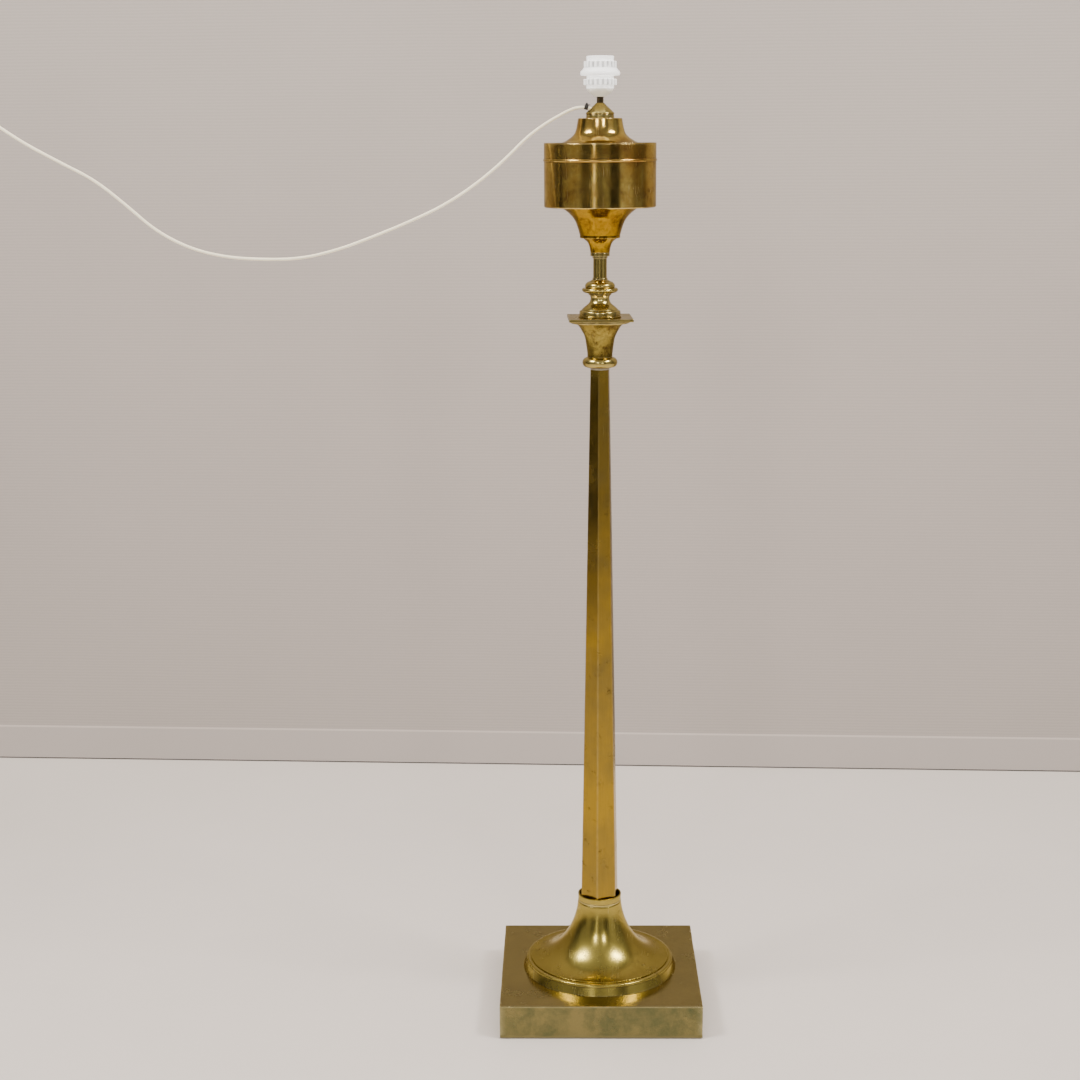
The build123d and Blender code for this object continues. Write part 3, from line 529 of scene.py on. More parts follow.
def makeFluteTree():
    labels = ("Depth", "Crown", "Low", "High", "Least")
    inputs = [("Count", "Int")] + [(label, "Float") for label in labels] + [("Finish", "Material")]
    tree, keys, given, result = startTree("flutedRim", inputs)
    value = given.outputs
    place = put(tree, "GeometryNodeInputPosition").outputs[0]
    parts = put(tree, "ShaderNodeSeparateXYZ", {0: place}).outputs
    flat = put(tree, "ShaderNodeCombineXYZ", {0: parts[0], 1: parts[1], 2: 0.0}).outputs[0]
    radius = put(tree, "ShaderNodeVectorMath", {0: flat}, operation="LENGTH").outputs["Value"]
    angle = sums(tree, "ARCTAN2", parts[1], parts[0])
    turn = sums(tree, "MULTIPLY", sums(tree, "MULTIPLY", angle, value["Count"]), 0.5)
    flute = sums(tree, "POWER", sums(tree, "ABSOLUTE", sums(tree, "SINE", turn)), 2.6)
    outward = put(tree, "ShaderNodeVectorMath", {0: flat}, operation="NORMALIZE").outputs[0]
    sink = sums(tree, "MULTIPLY", sums(tree, "MULTIPLY", flute, value["Depth"]), -1.0)
    inward = put(tree, "ShaderNodeVectorMath", {0: outward, "Scale": sink}, operation="SCALE").outputs[0]
    nearTop = spread(tree, parts[2], sums(tree, "SUBTRACT", value["High"], mm), value["High"])
    drop = sums(tree, "MULTIPLY", sums(tree, "MULTIPLY", flute, value["Crown"]), nearTop)
    sinks = sums(tree, "MULTIPLY", drop, -1.0)
    down = put(tree, "ShaderNodeCombineXYZ", {0: 0.0, 1: 0.0, 2: sinks}).outputs[0]
    shift = put(tree, "ShaderNodeVectorMath", {0: inward, 1: down}, operation="ADD").outputs[0]
    outer = passes(tree, radius, "GREATER_THAN", value["Least"])
    above = passes(tree, parts[2], "GREATER_THAN", value["Low"])
    chosen = put(tree, "FunctionNodeBooleanMath", {0: outer, 1: above}, operation="AND").outputs[0]
    # painted shade: the flute bottoms get a negative mark, which darkens them
    fluteShade = sums(tree, "MULTIPLY", flute, -1.0)
    marked = put(tree, "GeometryNodeStoreNamedAttribute", {"Geometry": value[0], "Selection": chosen,
                                                           "Name": "wearDirtShade", "Value": fluteShade}).outputs[0]
    moved = put(tree, "GeometryNodeSetPosition", {"Geometry": marked, "Selection": chosen,
                                                  "Offset": shift}).outputs[0]
    endTree(tree, given, result, moved)
    return tree, keys


turnedTree, turnedKeys = makeTurnedTree()
threadTree, threadKeys = makeThreadTree()
fluteTree, fluteKeys = makeFluteTree()


def plainMesh(piece, name):
    depsgraph = bpy.context.evaluated_depsgraph_get()
    mesh = bpy.data.meshes.new_from_object(piece.evaluated_get(depsgraph), depsgraph=depsgraph)
    mesh.name = name
    piece.modifiers.clear()
    piece.data = mesh
    piece.name = name
    return piece


def grow(piece, tree, keys, **inputs):
    modifier = piece.modifiers.new("build", "NODES")
    modifier.node_group = tree
    for label, value in inputs.items():
        modifier[keys[label]] = value
    return plainMesh(piece, piece.name)


def faceOutwards(piece, weld=0.0):
    shape = bmesh.new()
    shape.from_mesh(piece.data)
    if weld:
        bmesh.ops.remove_doubles(shape, verts=shape.verts, dist=weld)
    bmesh.ops.recalc_face_normals(shape, faces=shape.faces)
    shape.to_mesh(piece.data)
    shape.free()
    for face in piece.data.polygons:
        face.use_smooth = True


def newPiece(name, mesh):
    piece = bpy.data.objects.new(name, mesh)
    bpy.context.collection.objects.link(piece)
    return piece


def settle(piece, body, *nodes):
    for node in nodes:
        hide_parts(node)
    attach(piece, body)
    return piece


slotOf = {entry["node"]: entry["material_slot"] for entry in frame["record"]["subparts"]}

# outlines: radius and height in mm above the node's base; a third value marks a smooth point

edgeRound = 0.35        # mm
markReach = (0.3, 1.4)  # mm from an edge where its mark fades: wear on outer edges, dirt and painted shade in hollows


def smoothRuns(points):     # curves through the marked points, from corner to corner
    count = len(points)
    loop = []
    for index in range(count):
        here, after = points[index], points[(index + 1) % count]
        if len(here) == 2:
            loop.append((here[0], here[1], True))
        else:
            loop.append((here[0], here[1], False))
        if len(here) == 2 and len(after) == 2:
            continue
        before = points[index - 1] if len(here) == 3 else here
        beyond = points[(index + 2) % count] if len(after) == 3 else after
        steps = max(3, min(14, int(math.dist(here[:2], after[:2]) / 0.9)))
        for step in range(1, steps):
            t = step / steps
            loop.append((*[
                0.5 * (2 * b + (c - a) * t + (2 * a - 5 * b + 4 * c - d) * t * t
                       + (3 * b - a - 3 * c + d) * t ** 3)
                for a, b, c, d in zip(before[:2], here[:2], after[:2], beyond[:2])], False))
    return loop


def roundedOutline(points, finest):     # each entry of the result is radius, height and a mark: wear on outer edges, dirt and painted shade in hollows
    loop = smoothRuns(points)
    area = sum(loop[i - 1][0] * loop[i][1] - loop[i][0] * loop[i - 1][1] for i in range(len(loop)))
    result = []
    for index, (x, y, corner) in enumerate(loop):
        before = Vector(loop[index - 1][:2])
        after = Vector(loop[(index + 1) % len(loop)][:2])
        here = Vector((x, y))
        back = before - here
        ahead = after - here
        bend = math.pi - back.angle(ahead)
        if not corner or bend < 0.12:
            result.append((x, y, 0.0))
            continue
        turn = (here.x - before.x) * (after.y - here.y) - (here.y - before.y) * (after.x - here.x)
        sign = 1.0 if turn * area > 0 else -1.0
        room = min(back.length, ahead.length)
        cut = min(edgeRound * math.tan(bend / 2), 0.42 * room)
        for reach, strength in ((markReach[1], 0.0), (markReach[0], 0.7)):
            if back.length > 2.2 * (cut + reach):
                spot = here + back.normalized() * (cut + reach)
                result.append((spot.x, spot.y, sign * strength))
        start = here + back.normalized() * cut
        end = here + ahead.normalized() * cut
        for step in range(5):
            t = step / 4
            spot = start * (1 - t) ** 2 + here * 2 * t * (1 - t) + end * t * t
            result.append((spot.x, spot.y, sign))
        for reach, strength in ((markReach[0], 0.7), (markReach[1], 0.0)):
            if ahead.length > 2.2 * (cut + reach):
                spot = here + ahead.normalized() * (cut + reach)
                result.append((spot.x, spot.y, sign * strength))
    dense = []
    for index, entry in enumerate(result):
        following = result[(index + 1) % len(result)]
        parts = max(1, math.ceil(math.dist(entry[:2], following[:2]) / finest))
        for part in range(parts):
            t = part / parts
            dense.append(tuple(a + (b - a) * t for a, b in zip(entry, following)))
    return dense


def turned(name, node, outline, finish, segments=144, finest=12.0):     # stands on its node's base
    loop = roundedOutline(outline, finest)
    base = baseOf(node)
    verts = [((radius - 1) * mm, -(base + height * mm), 0) for radius, height, wearDirtShade in loop]
    mesh = bpy.data.meshes.new(name)
    mesh.from_pydata(verts, [(i, (i + 1) % len(verts)) for i in range(len(verts))], [])
    wearDirtShade = mesh.attributes.new("wearDirtShade", "FLOAT", "POINT")
    for index, entry in enumerate(loop):
        wearDirtShade.data[index].value = entry[2]
    piece = newPiece(name, mesh)
    grow(piece, turnedTree, turnedKeys, Segments=segments, Finish=materials[finish])
    faceOutwards(piece)
    return piece


bore = 5.3
bellShape = {"edge": 105.0, "collar": 32.8, "flareTop": 97.5, "wall": 1.5, "power": 1.9, "step": 3,
             "lip": 102.2, "lipInner": 30.15, "grooves": (90.6, 93.4)}     # mm


def bellOutline(bell):
    def flare(grown):
        reach = bell["edge"] - bell["collar"] + grown
        drop = bell["flareTop"] - bell["wall"] + grown
        angles = [math.radians(angle) for angle in range(0, 91, bell["step"])]
        power = 2 / bell["power"]
        return [(bell["edge"] - reach * math.cos(angle) ** power,
                 bell["flareTop"] - drop * math.sin(angle) ** power, 1) for angle in angles]

    outer = flare(0)
    inner = flare(bell["wall"])
    collar = bell["collar"]
    wallInner = collar - bell["wall"]
    outer = [point for point in outer[::-1] if point[1] < bell["grooves"][0] - 2]
    grooves = []
    for height in bell["grooves"]:
        grooves += [(collar, height - 0.55), (collar - 0.45, height), (collar, height + 0.55)]
    lip = [(collar, bell["lip"] - 1.2, 1), (collar - 0.4, bell["lip"] - 0.35, 1),
           ((collar + bell["lipInner"]) / 2, bell["lip"], 1),
           (bell["lipInner"] + 0.4, bell["lip"] - 0.35, 1),
           (bell["lipInner"], bell["lip"] - 1.2, 1), (bell["lipInner"], bell["lip"] - 2.2)]
    below = [(wallInner, bell["lip"] - 3.2)]
    return outer + grooves + lip + below + inner + [(bell["edge"] + 0.3, 0.75, 1)]


def ringOutline(radius, height, inner=bore):
    return [(inner, 0), (radius, 0), (radius, height), (inner, height)]


turnedPieces = {
    "footRing": ("foot_ring", "footBrass", [
        (98, 14.7), (110.3, 14.1, 1), (110.9, 12.1), (115.7, 0), (117.3, 0), (112.4, 12.3), (111.6, 15.1, 1),
        (109, 16.2), (98, 16.2)]),
    "bellFoot": ("bell_foot", "footBrass", bellOutline(bellShape)),
    "columnCollar": ("column_collar", "paleMetal", ringOutline(13.7, 3)),
    "capitalTorus": ("capital_torus", "turnedBrass", [
        (bore, 0), (17.9, 0), (23.2, 2.2, 1), (25.4, 7.5, 1), (23.2, 12.8, 1), (17.9, 15), (bore, 15)]),
    "capitalBell": ("capital_bell", "capitalBrass", [
        (bore, 0), (18.2, 0), (18.2, 5), (19.7, 17, 1), (22.3, 30, 1), (27.1, 39.5, 1), (30.2, 44.5, 1),
        (34.6, 49.2), (bore, 49.2)]),
    "capitalRim": ("capital_rim", "turnedBrass", [
        (bore, 0), (41.2, 0), (42.9, 0.7, 1), (43.4, 2.2), (43.4, 5), (bore, 5)]),
    "knopBaluster": ("knop_baluster", "turnedBrass", [
        (bore, 0), (30.4, 0), (31.1, 0.9, 1), (30.4, 1.7), (29.0, 2.1), (29.7, 2.9), (29.7, 6.7),
        (29.2, 8.3, 1), (27.9, 9.2), (26.4, 9.6), (24.4, 12.3, 1), (20.4, 15.7, 1), (16.5, 18.9, 1),
        (14.3, 22.5, 1), (13.4, 26.7, 1), (14.6, 30.6), (16.4, 31.5), (16.4, 32.9), (17.5, 33.7),
        (17.5, 34.7), (bore, 34.7)]),
    "knopDisc": ("knop_disc", "turnedBrass", [
        (bore, 0), (22.4, 0), (25.2, 2.0, 1), (26.0, 4.4, 1), (24.8, 6.3), (bore, 6.3)]),
    "knopBead": ("knop_bead", "turnedBrass", [
        (bore, 0), (20.4, 0), (21.7, 2.9, 1), (20.6, 6.0, 1), (18.0, 8.7), (14.6, 9.9), (12.0, 11.7),
        (bore, 11.7)]),
    "stemFootRing": ("stem_foot_ring", "turnedBrass", ringOutline(10.9, 2.6)),
    "stemTube": ("stem_tube", "turnedBrass", ringOutline(9.8, 28.4, 8.3)),
    "stemTopRing": ("stem_top_ring", "turnedBrass", ringOutline(10.9, 3)),
    "funnelCollar": ("funnel_collar", "turnedBrass", ringOutline(13.8, 5)),
    "smallFunnel": ("small_funnel", "amberBrass", [
        (bore, 0), (13.8, 0), (15.4, 8.5, 1), (18.3, 15, 1), (25.0, 20.5), (bore, 20.5)]),
    "largeFunnel": ("large_funnel", "amberBrass", [
        (bore, 0), (28.3, 0), (28.9, 0.6), (28.9, 4), (31.8, 14.5, 1), (36.6, 26, 1), (44.6, 35.1, 1),
        (55.4, 43.5), (53.2, 43.5), (43.1, 35.7, 1), (35.1, 26.6, 1), (30.3, 15.1, 1), (27.4, 4), (27.4, 1.5),
        (bore, 1.5)]),
    "drumBody": ("drum_body", "drumBrass", [
        (bore, 0), (78.6, 0), (79.8, 1.2), (79.8, 63.75), (81.1, 66, 1), (79.8, 68.25), (79.8, 88.5),
        (78.3, 88.5), (78.3, 1.5), (bore, 1.5)]),
    "lidNeck": ("lid_neck", "drumBrass", [
        (54.5, 10.5), (79.3, 10.5), (79.8, 10), (79.8, 9), (78.1, 9), (78.1, 0), (76.6, 0), (76.6, 9),
        (53.3, 9), (45.3, 13.7, 1), (36.4, 20.6, 1), (32.4, 29, 1), (29.8, 43), (bore, 43), (bore, 44.5),
        (30.5, 44.5), (31.3, 43.7), (33.9, 29.5, 1), (37.9, 21.1, 1), (46.8, 14.2, 1)]),
    "neckCollar": ("neck_collar", "turnedBrass", ringOutline(19.8, 4.5)),
    "coneCap": ("cone_cap", "turnedBrass", [
        (bore, 16.3), (6.0, 16.3), (9.8, 12.3, 1), (14.1, 8.4, 1), (18.2, 4.5), (20.4, 1.9, 1), (18.6, 0),
        (17.0, 0), (17.0, 3.3), (9.6, 10.5), (bore, 15.1)]),
    "holderCap": ("holder_cap", "capPlastic", [
        (5, 0), (8.0, 0), (9.6, 1.5, 1), (14.6, 5.0, 1), (17.6, 7.9, 1), (19.2, 10.7), (17.6, 10.7),
        (14, 7.0), (9, 5.6), (5, 5.6)]),
}

built = {}
for pieceName, (node, finish, outline) in turnedPieces.items():
    built[pieceName] = turned(pieceName, node, outline, finish)

flexHole = {"place": (-0.0145, 0, 1.3446), "rise": 15.0, "radius": 0.0026, "reach": 0.007}


def drillFlexHole(cone, hole):
    rise = math.radians(hole["rise"])
    along = Vector((-math.cos(rise), 0, math.sin(rise)))
    drill = bmesh.new()
    bmesh.ops.create_cone(drill, cap_ends=True, segments=40, radius1=hole["radius"],
                          radius2=hole["radius"], depth=2 * hole["reach"])
    turn = along.to_track_quat("Z", "Y").to_matrix().to_4x4()
    bmesh.ops.transform(drill, matrix=Matrix.Translation(hole["place"]) @ turn, verts=drill.verts)
    mesh = bpy.data.meshes.new("flexDrill")
    drill.to_mesh(mesh)
    drill.free()
    cutter = newPiece("flexDrill", mesh)
    cut = cone.modifiers.new("flexHole", "BOOLEAN")
    cut.operation = "DIFFERENCE"
    cut.solver = "EXACT"
    cut.object = cutter
    plainMesh(cone, cone.name)
    bpy.data.objects.remove(cutter)


drillFlexHole(built["coneCap"], flexHole)
for pieceName, (node, finish, outline) in turnedPieces.items():
    settle(built[pieceName], "stand", node)
print("stage: turned pieces")

# square slabs and the column: rings of points joined into a closed skin


def ringSkin(name, rings, wearDirtShade, finish):
    count = len(rings[0])
    verts = [point for ring in rings for point in ring]
    faces = []
    for index in range(len(rings)):
        here = index * count
        after = (index + 1) % len(rings) * count
        for step in range(count):
            following = (step + 1) % count
            faces.append((here + step, here + following, after + following, after + step))
    mesh = bpy.data.meshes.new(name)
    mesh.from_pydata(verts, [], faces)
    values = mesh.attributes.new("wearDirtShade", "FLOAT", "POINT")
    flat = [value for ring in wearDirtShade for value in ring]
    for index, value in enumerate(flat):
        values.data[index].value = value
    mesh.materials.append(materials[finish])
    piece = newPiece(name, mesh)
    faceOutwards(piece)
    return piece


def polygonRing(corners, corner, edge, sideParts):     # a rounded regular polygon: x, y, corner share
    points = []
    cornerSet = corner - edge / math.cos(math.pi / corners)
    for index in range(corners):
        middle = 2 * math.pi * index / corners
        centre = Vector((cornerSet * math.cos(middle), cornerSet * math.sin(middle)))
        for step in range(6):
            angle = middle + math.pi / corners * (2 * step / 5 - 1)
            points.append((centre.x + edge * math.cos(angle), centre.y + edge * math.sin(angle), 1.0))
        start = Vector(points[-1][:2])
        following = middle + 2 * math.pi / corners
        nextCentre = Vector((cornerSet * math.cos(following), cornerSet * math.sin(following)))
        face = middle + math.pi / corners
        end = nextCentre + edge * Vector((math.cos(face), math.sin(face)))
        for share in sideParts:
            spot = start.lerp(end, share)
            points.append((spot.x, spot.y, 0.5 if min(share, 1 - share) < 0.03 else 0.0))
    return points


plinthShape = {     # mm, and turn in degrees
    "half": 150.0, "round": 1.2, "base": 1.5, "top": 51.3, "wall": 1.5, "hole": 5.3, "turn": 0.0,
    # painted shade: a bottom edge mark of -0.9 darkens the plinth's lowest edge towards the stain colour
    "uneven": 0.35, "bottomEdgeMark": -0.9, "open": True, "body": "stand", "node": "plinth_shell",
}
abacusShape = {
    "half": 46.0, "round": 0.8, "base": 1047.2, "top": 1051.3, "wall": 0, "hole": 5.3, "turn": 2.0,
    "uneven": 0.3, "bottomEdgeMark": 0.3, "open": False, "body": "stand", "node": "abacus",
}
slabParts = [0.008, 0.03] + [step / 22 for step in range(1, 22)] + [0.97, 0.992]


def slab(name, shape, finish):
    half = shape["half"]
    low = baseOf(shape["node"]) / mm
    high = low + shape["top"] - shape["base"]
    turn = Matrix.Rotation(math.radians(45 + shape["turn"]), 2)
    rings, wearDirtShade = [], []

    def ring(reach, height, value, roundness=None, circle=False):
        roundness = shape["round"] if roundness is None else roundness
        points = polygonRing(4, reach * math.sqrt(2), min(roundness, reach * 0.4), slabParts)
        row, marks = [], []
        for x, y, corner in points:
            spot = turn @ Vector((x, y))
            if circle:
                spot = spot.normalized() * reach
            row.append((spot.x, spot.y, height))
            worn = abs(value) <= 0.5 and reach > half - 1
            marks.append(max(value, corner * 0.8) if worn else value)
        rings.append(row)
        wearDirtShade.append(marks)

    edge = shape["round"]
    ring(shape["hole"], high, 0, circle=True)
    for share in (0.06, 0.15, 0.27, 0.4, 0.52, 0.64, 0.75, 0.85, 0.93, 0.975):
        ring(half * share, high, 0, roundness=half * share * 0.3 * (1 - share))
    for step in range(6):
        angle = math.radians(18 * step)
        ring(half - edge + edge * math.sin(angle), high - edge + edge * math.cos(angle), 1.0)
    sides = 9 if shape["open"] else 2
    for step in range(sides):
        share = (step + 0.25) / sides
        ring(half, high - edge - share * (high - low - 2 * edge), 0.0)
    for step in range(4):
        angle = math.radians(30 * step)
        inset = edge * 0.5 * (1 - math.cos(angle))
        rise = edge * 0.5 * (1 - math.sin(angle))
        # the bottom edge takes the shape's bottom edge mark: painted shade on the plinth, a pale worn edge on
        # the abacus
        ring(half - inset, low + rise, shape["bottomEdgeMark"])
    if shape["open"]:
        wall = shape["wall"]
        ring(half - wall, low, -0.5)
        ring(half - wall, high - wall - 2, -0.5)
        ring(half - wall - 2, high - wall, -0.5)
        for share in (0.7, 0.4, 0.15):
            ring(half * share, high - wall, 0, roundness=half * share * 0.2)
        ring(shape["hole"], high - wall, 0, circle=True)
    else:
        for share in (0.9, 0.5, 0.2):
            ring(half * share, low, 0, roundness=half * share * 0.3 * (1 - share))
        ring(shape["hole"], low, 0, circle=True)
    shaped = []
    for row in rings:
        shaped.append([unevenPoint(x, y, z, shape, low, high) for x, y, z in row])
    return settle(ringSkin(name, shaped, wearDirtShade, finish), shape["body"], shape["node"])


def unevenPoint(x, y, z, shape, low, high):     # hand-flattened sheet: it only ever moves inwards
    reach = max(abs(x), abs(y)) / shape["half"]
    wave = noise.noise(Vector((x, y, z)) * 0.021) * 0.6 + noise.noise(Vector((x, y, z)) * 0.07) * 0.4
    amount = shape["uneven"] * max(0.0, 0.5 + wave)
    if z > high - 0.6 and 0.3 < reach < 0.985:
        z -= amount
    elif reach > 0.97 and z > low + 0.5:
        x -= math.copysign(amount, x) * (abs(x) / shape["half"]) ** 8
        y -= math.copysign(amount, y) * (abs(y) / shape["half"]) ** 8
    return x * mm, y * mm, z * mm


slab("plinth", plinthShape, "plinthBrass")
slab("abacusSlab", abacusShape, "turnedBrass")

columnShape = {     # mm, and turn in degrees
    "cornerLow": 32.4, "cornerHigh": 15.1, "turn": 22.2, "round": 1.6, "wall": 1.2, "rows": 74,
    "wobble": 0.12,
}
columnParts = [0.02, 0.06, 0.3, 0.5, 0.7, 0.94, 0.98]


def makeColumn(shape):
    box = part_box("column")
    low, high = box[0][2] / mm, box[1][2] / mm
    turn = Matrix.Rotation(math.radians(shape["turn"]), 2)
    rings, wearDirtShade = [], []

    def ring(share, height, inset, value):
        corner = shape["cornerLow"] + (shape["cornerHigh"] - shape["cornerLow"]) * share
        corner -= inset / math.cos(math.pi / 6)
        roundness = max(0.5, shape["round"] - inset * 0.8)
        points = polygonRing(6, corner, roundness, columnParts)
        row, marks = [], []
        for index, (x, y, onCorner) in enumerate(points):
            spot = turn @ Vector((x, y))
            wave = noise.noise(Vector((spot.x * 0.09, spot.y * 0.09, height * 0.035)))
            spot *= 1 - shape["wobble"] * (0.5 + 0.5 * wave) / corner
            row.append((spot.x * mm, spot.y * mm, height * mm))
            marks.append(value if value else onCorner * 0.5)
        rings.append(row)
        wearDirtShade.append(marks)

    edge = 0.4
    for step in range(shape["rows"] + 1):
        share = step / shape["rows"]
        ring(share, min(high - edge, max(low + edge, low + share * (high - low))), 0, 0)
    for angle in (30, 60, 90):
        lean = math.radians(angle)
        ring(1, high - edge + edge * math.sin(lean), edge * (1 - math.cos(lean)), 0.9)
    ring(1, high, shape["wall"], 0.0)
    for step in (2, 1, 0):
        ring(step / 2, (high - 1) * step / 2 + (low + 1) * (1 - step / 2), shape["wall"], 0.0)
    ring(0, low, shape["wall"], 0.0)
    ring(0, low, edge, 0.5)
    return settle(ringSkin("hexColumn", rings, wearDirtShade, "columnBrass"), "stand", "column")


makeColumn(columnShape)
print("stage: plinth, abacus and column")

# threaded and fluted parts of the lampholder

threadedPieces = {
    "threadedNipple": {
        "node": "nipple", "body": "stand", "finish": "blackSteel", "segments": 64, "finest": 0.2,
        "outline": [(3.4, 0), (4.6, 0), (5, 0.4), (5, 49), (4.6, 49.4), (3.4, 49.4)],
        "pitch": 1.0, "depth": 0.45, "from": 1, "to": 48.4, "least": 4.7, "most": 6},
    "holderSleeve": {
        "node": "holder_sleeve", "body": "sleeve", "finish": "holderPlastic", "segments": 128,
        "finest": 0.42,
        "outline": [(17.3, 0), (18.9, 0), (19.5, 0.6), (19.5, 43.5), (19.2, 44.4, 1), (18.3, 44.7),
                    (14.9, 44.7), (14.1, 43.9), (14.1, 33.5), (17.3, 30.5)],
        "pitch": 2.7, "depth": 0.75, "from": 4.5, "to": 42.3, "least": 19.3, "most": 21},
    "screwShell": {
        "node": "screw_shell", "body": "stand", "finish": "nickel", "segments": 96, "finest": 0.45,
        "outline": [(13.2, 0), (13.7, 0), (13.7, 21), (13.2, 21)],
        "pitch": 3.62, "depth": 0.9, "from": 1.2, "to": 19.6, "least": 12, "most": 15},
}

for pieceName, part in threadedPieces.items():
    piece = turned(pieceName, part["node"], part["outline"], part["finish"], part["segments"],
                   part["finest"])
    foot = baseOf(part["node"])
    grow(piece, threadTree, threadKeys, Pitch=part["pitch"] * mm, Depth=part["depth"] * mm,
         Low=foot + part["from"] * mm, High=foot + part["to"] * mm, Least=part["least"] * mm,
         Most=part["most"] * mm, Finish=materials[part["finish"]])
    settle(piece, part["body"], part["node"])

flutedPieces = {
    "shadeRingLower": {
        "node": "shade_ring_lower", "body": "lower_ring", "count": 20, "depth": 1.4, "crown": 0.7,
        "low": -1, "high": 8.2, "least": 21.2,
        "outline": [(19.8, 0), (22.9, 0), (23.4, 0.5), (23.4, 7.7), (22.9, 8.2), (19.8, 8.2)]},
    "shadeRingUpper": {
        "node": "shade_ring_upper", "body": "upper_ring", "count": 20, "depth": 1.3, "crown": 0.4,
        "low": 11.2, "high": 19.4, "least": 21.2,
        "outline": [(19.8, 8.9), (26.2, 1.0), (26.2, 0), (27.6, 0), (28.1, 2.8, 1), (27.5, 5.4),
                    (25.2, 7.7, 1),
                    (23.0, 10.8), (23.0, 18.9), (22.5, 19.4), (20.3, 19.4), (19.8, 18.9)]},
}

for pieceName, part in flutedPieces.items():
    piece = turned(pieceName, part["node"], part["outline"], "holderPlastic", 240, 0.6)
    foot = baseOf(part["node"])
    grow(piece, fluteTree, fluteKeys, Count=part["count"], Depth=part["depth"] * mm,
         Crown=part["crown"] * mm, Low=foot + part["low"] * mm, High=foot + part["high"] * mm,
         Least=part["least"] * mm,
         Finish=materials["holderPlastic"])
    settle(piece, part["body"], part["node"])
print("stage: lampholder")

# ties on the flex, and its plug


def addBlock(shape, size, place, turn, bevel):     # a bevelled block, in mm about a place
    made = bmesh.ops.create_cube(shape, size=1)["verts"]
    bmesh.ops.scale(shape, vec=size, verts=made)
    edges = list({edge for vert in made for edge in vert.link_edges})
    result = bmesh.ops.bevel(shape, geom=edges, offset=bevel, segments=3, affect="EDGES", profile=0.5)
    verts = list({vert for face in result["faces"] for vert in face.verts})
    reached = set(verts)
    grown = verts
    while grown:
        grown = [edge.other_vert(vert) for vert in grown for edge in vert.link_edges]
        grown = [vert for vert in set(grown) if vert not in reached]
        reached.update(grown)
    bmesh.ops.transform(shape, matrix=Matrix.Translation(place) @ turn, verts=list(reached))


def addLoop(shape, outline, width, thick):     # a strap of rounded section round an outline in X and Y
    count = len(outline)
    section = []
    edge = thick * 0.35
    for side in ((-1, 0), (-1, 1), (1, 1), (1, 0)):
        across, out = side
        centre = (across * (width / 2 - edge), (out * thick - edge) if out else edge)
        first = {(-1, 0): 270, (-1, 1): 180, (1, 1): 90, (1, 0): 0}[side]
        for step in range(4):
            angle = math.radians(first - 30 * step)
            section.append((centre[0] + edge * math.cos(angle), centre[1] + edge * math.sin(angle)))
    rows = []
    for index, (x, y) in enumerate(outline):
        before, after = Vector(outline[index - 1]), Vector(outline[(index + 1) % count])
        along = (after - before).normalized()
        out = Vector((along.y, -along.x))
        rows.append([shape.verts.new((x + out.x * up, y + out.y * up, across))
                     for across, up in section])
    for index, row in enumerate(rows):
        after = rows[(index + 1) % count]
        for step in range(len(section)):
            following = (step + 1) % len(section)
            shape.faces.new((row[step], row[following], after[following], after[step]))


def finishShape(shape, name, matrix, finish):
    bmesh.ops.transform(shape, matrix=matrix @ Matrix.Scale(mm, 4), verts=shape.verts)
    bmesh.ops.recalc_face_normals(shape, faces=shape.faces)
    mesh = bpy.data.meshes.new(name)
    shape.to_mesh(mesh)
    shape.free()
    mesh.materials.append(materials[finish])
    for face in mesh.polygons:
        face.use_smooth = face.area < 0.6 * mm * mm
    return newPiece(name, mesh)


def roundedBox(halfX, halfY, corner, steps=6):
    points = []
    for index, (sideX, sideY) in enumerate(((1, 1), (-1, 1), (-1, -1), (1, -1))):
        for step in range(steps + 1):
            angle = math.radians(90 * index + 90 * step / steps)
            points.append((sideX * (halfX - corner) + corner * math.cos(angle),
                           sideY * (halfY - corner) + corner * math.sin(angle)))
    return points


tieShape = {     # mm and degrees
    "start": 2.4, "band": 5.6, "inner": 2.25, "thick": 1.2, "head": (3.2, 5.0, 3.6),
    "stub": (4.4, 2.6, 1.1), "stubAngle": 12.0, "teeth": 4, "toothStep": 0.8,
}


def makeFlexTie(tie, hole):
    shape = bmesh.new()
    circle = [(tie["inner"] * math.cos(math.tau * k / 32), tie["inner"] * math.sin(math.tau * k / 32))
              for k in range(32)]
    addLoop(shape, circle, tie["band"], tie["thick"])
    level = tie["inner"] + tie["thick"]
    none = Matrix.Identity(4)
    addBlock(shape, (tie["head"][2], tie["head"][1], tie["head"][0]), (level + 0.9, 0, 0.6), none, 0.45)
    tilt = Matrix.Rotation(math.radians(-tie["stubAngle"]), 4, "Y")
    addBlock(shape, (tie["stub"][2], tie["stub"][1], tie["stub"][0]), (level + 0.7, 0, -2.6), tilt, 0.3)
    for step in range(tie["teeth"]):
        place = (level + 1.35 - 0.2 * step, 0, -1.7 - tie["toothStep"] * step)
        addBlock(shape, (0.35, tie["stub"][1] * 0.7, 0.4), place, tilt, 0.12)
    rise = math.radians(hole["rise"])
    out = Vector((-math.cos(rise), 0, math.sin(rise)))
    up = Vector((math.sin(rise), 0, math.cos(rise)))
    middle = Vector(hole["place"]) + out * (tie["start"] + tie["band"] / 2) * mm
    frameOfTie = Matrix((up, up.cross(out) * -1, out)).transposed().to_4x4()
    piece = finishShape(shape, "flexTie", Matrix.Translation(middle) @ frameOfTie, "gripPlastic")
    return settle(piece, "stand", "cord_grip")


makeFlexTie(tieShape, flexHole)

coilTieShape = {"angle": 235.0, "radius": 24.0, "halfRadial": 5.3, "halfWide": 7.4, "thick": 1.2,
                "width": 5.0}


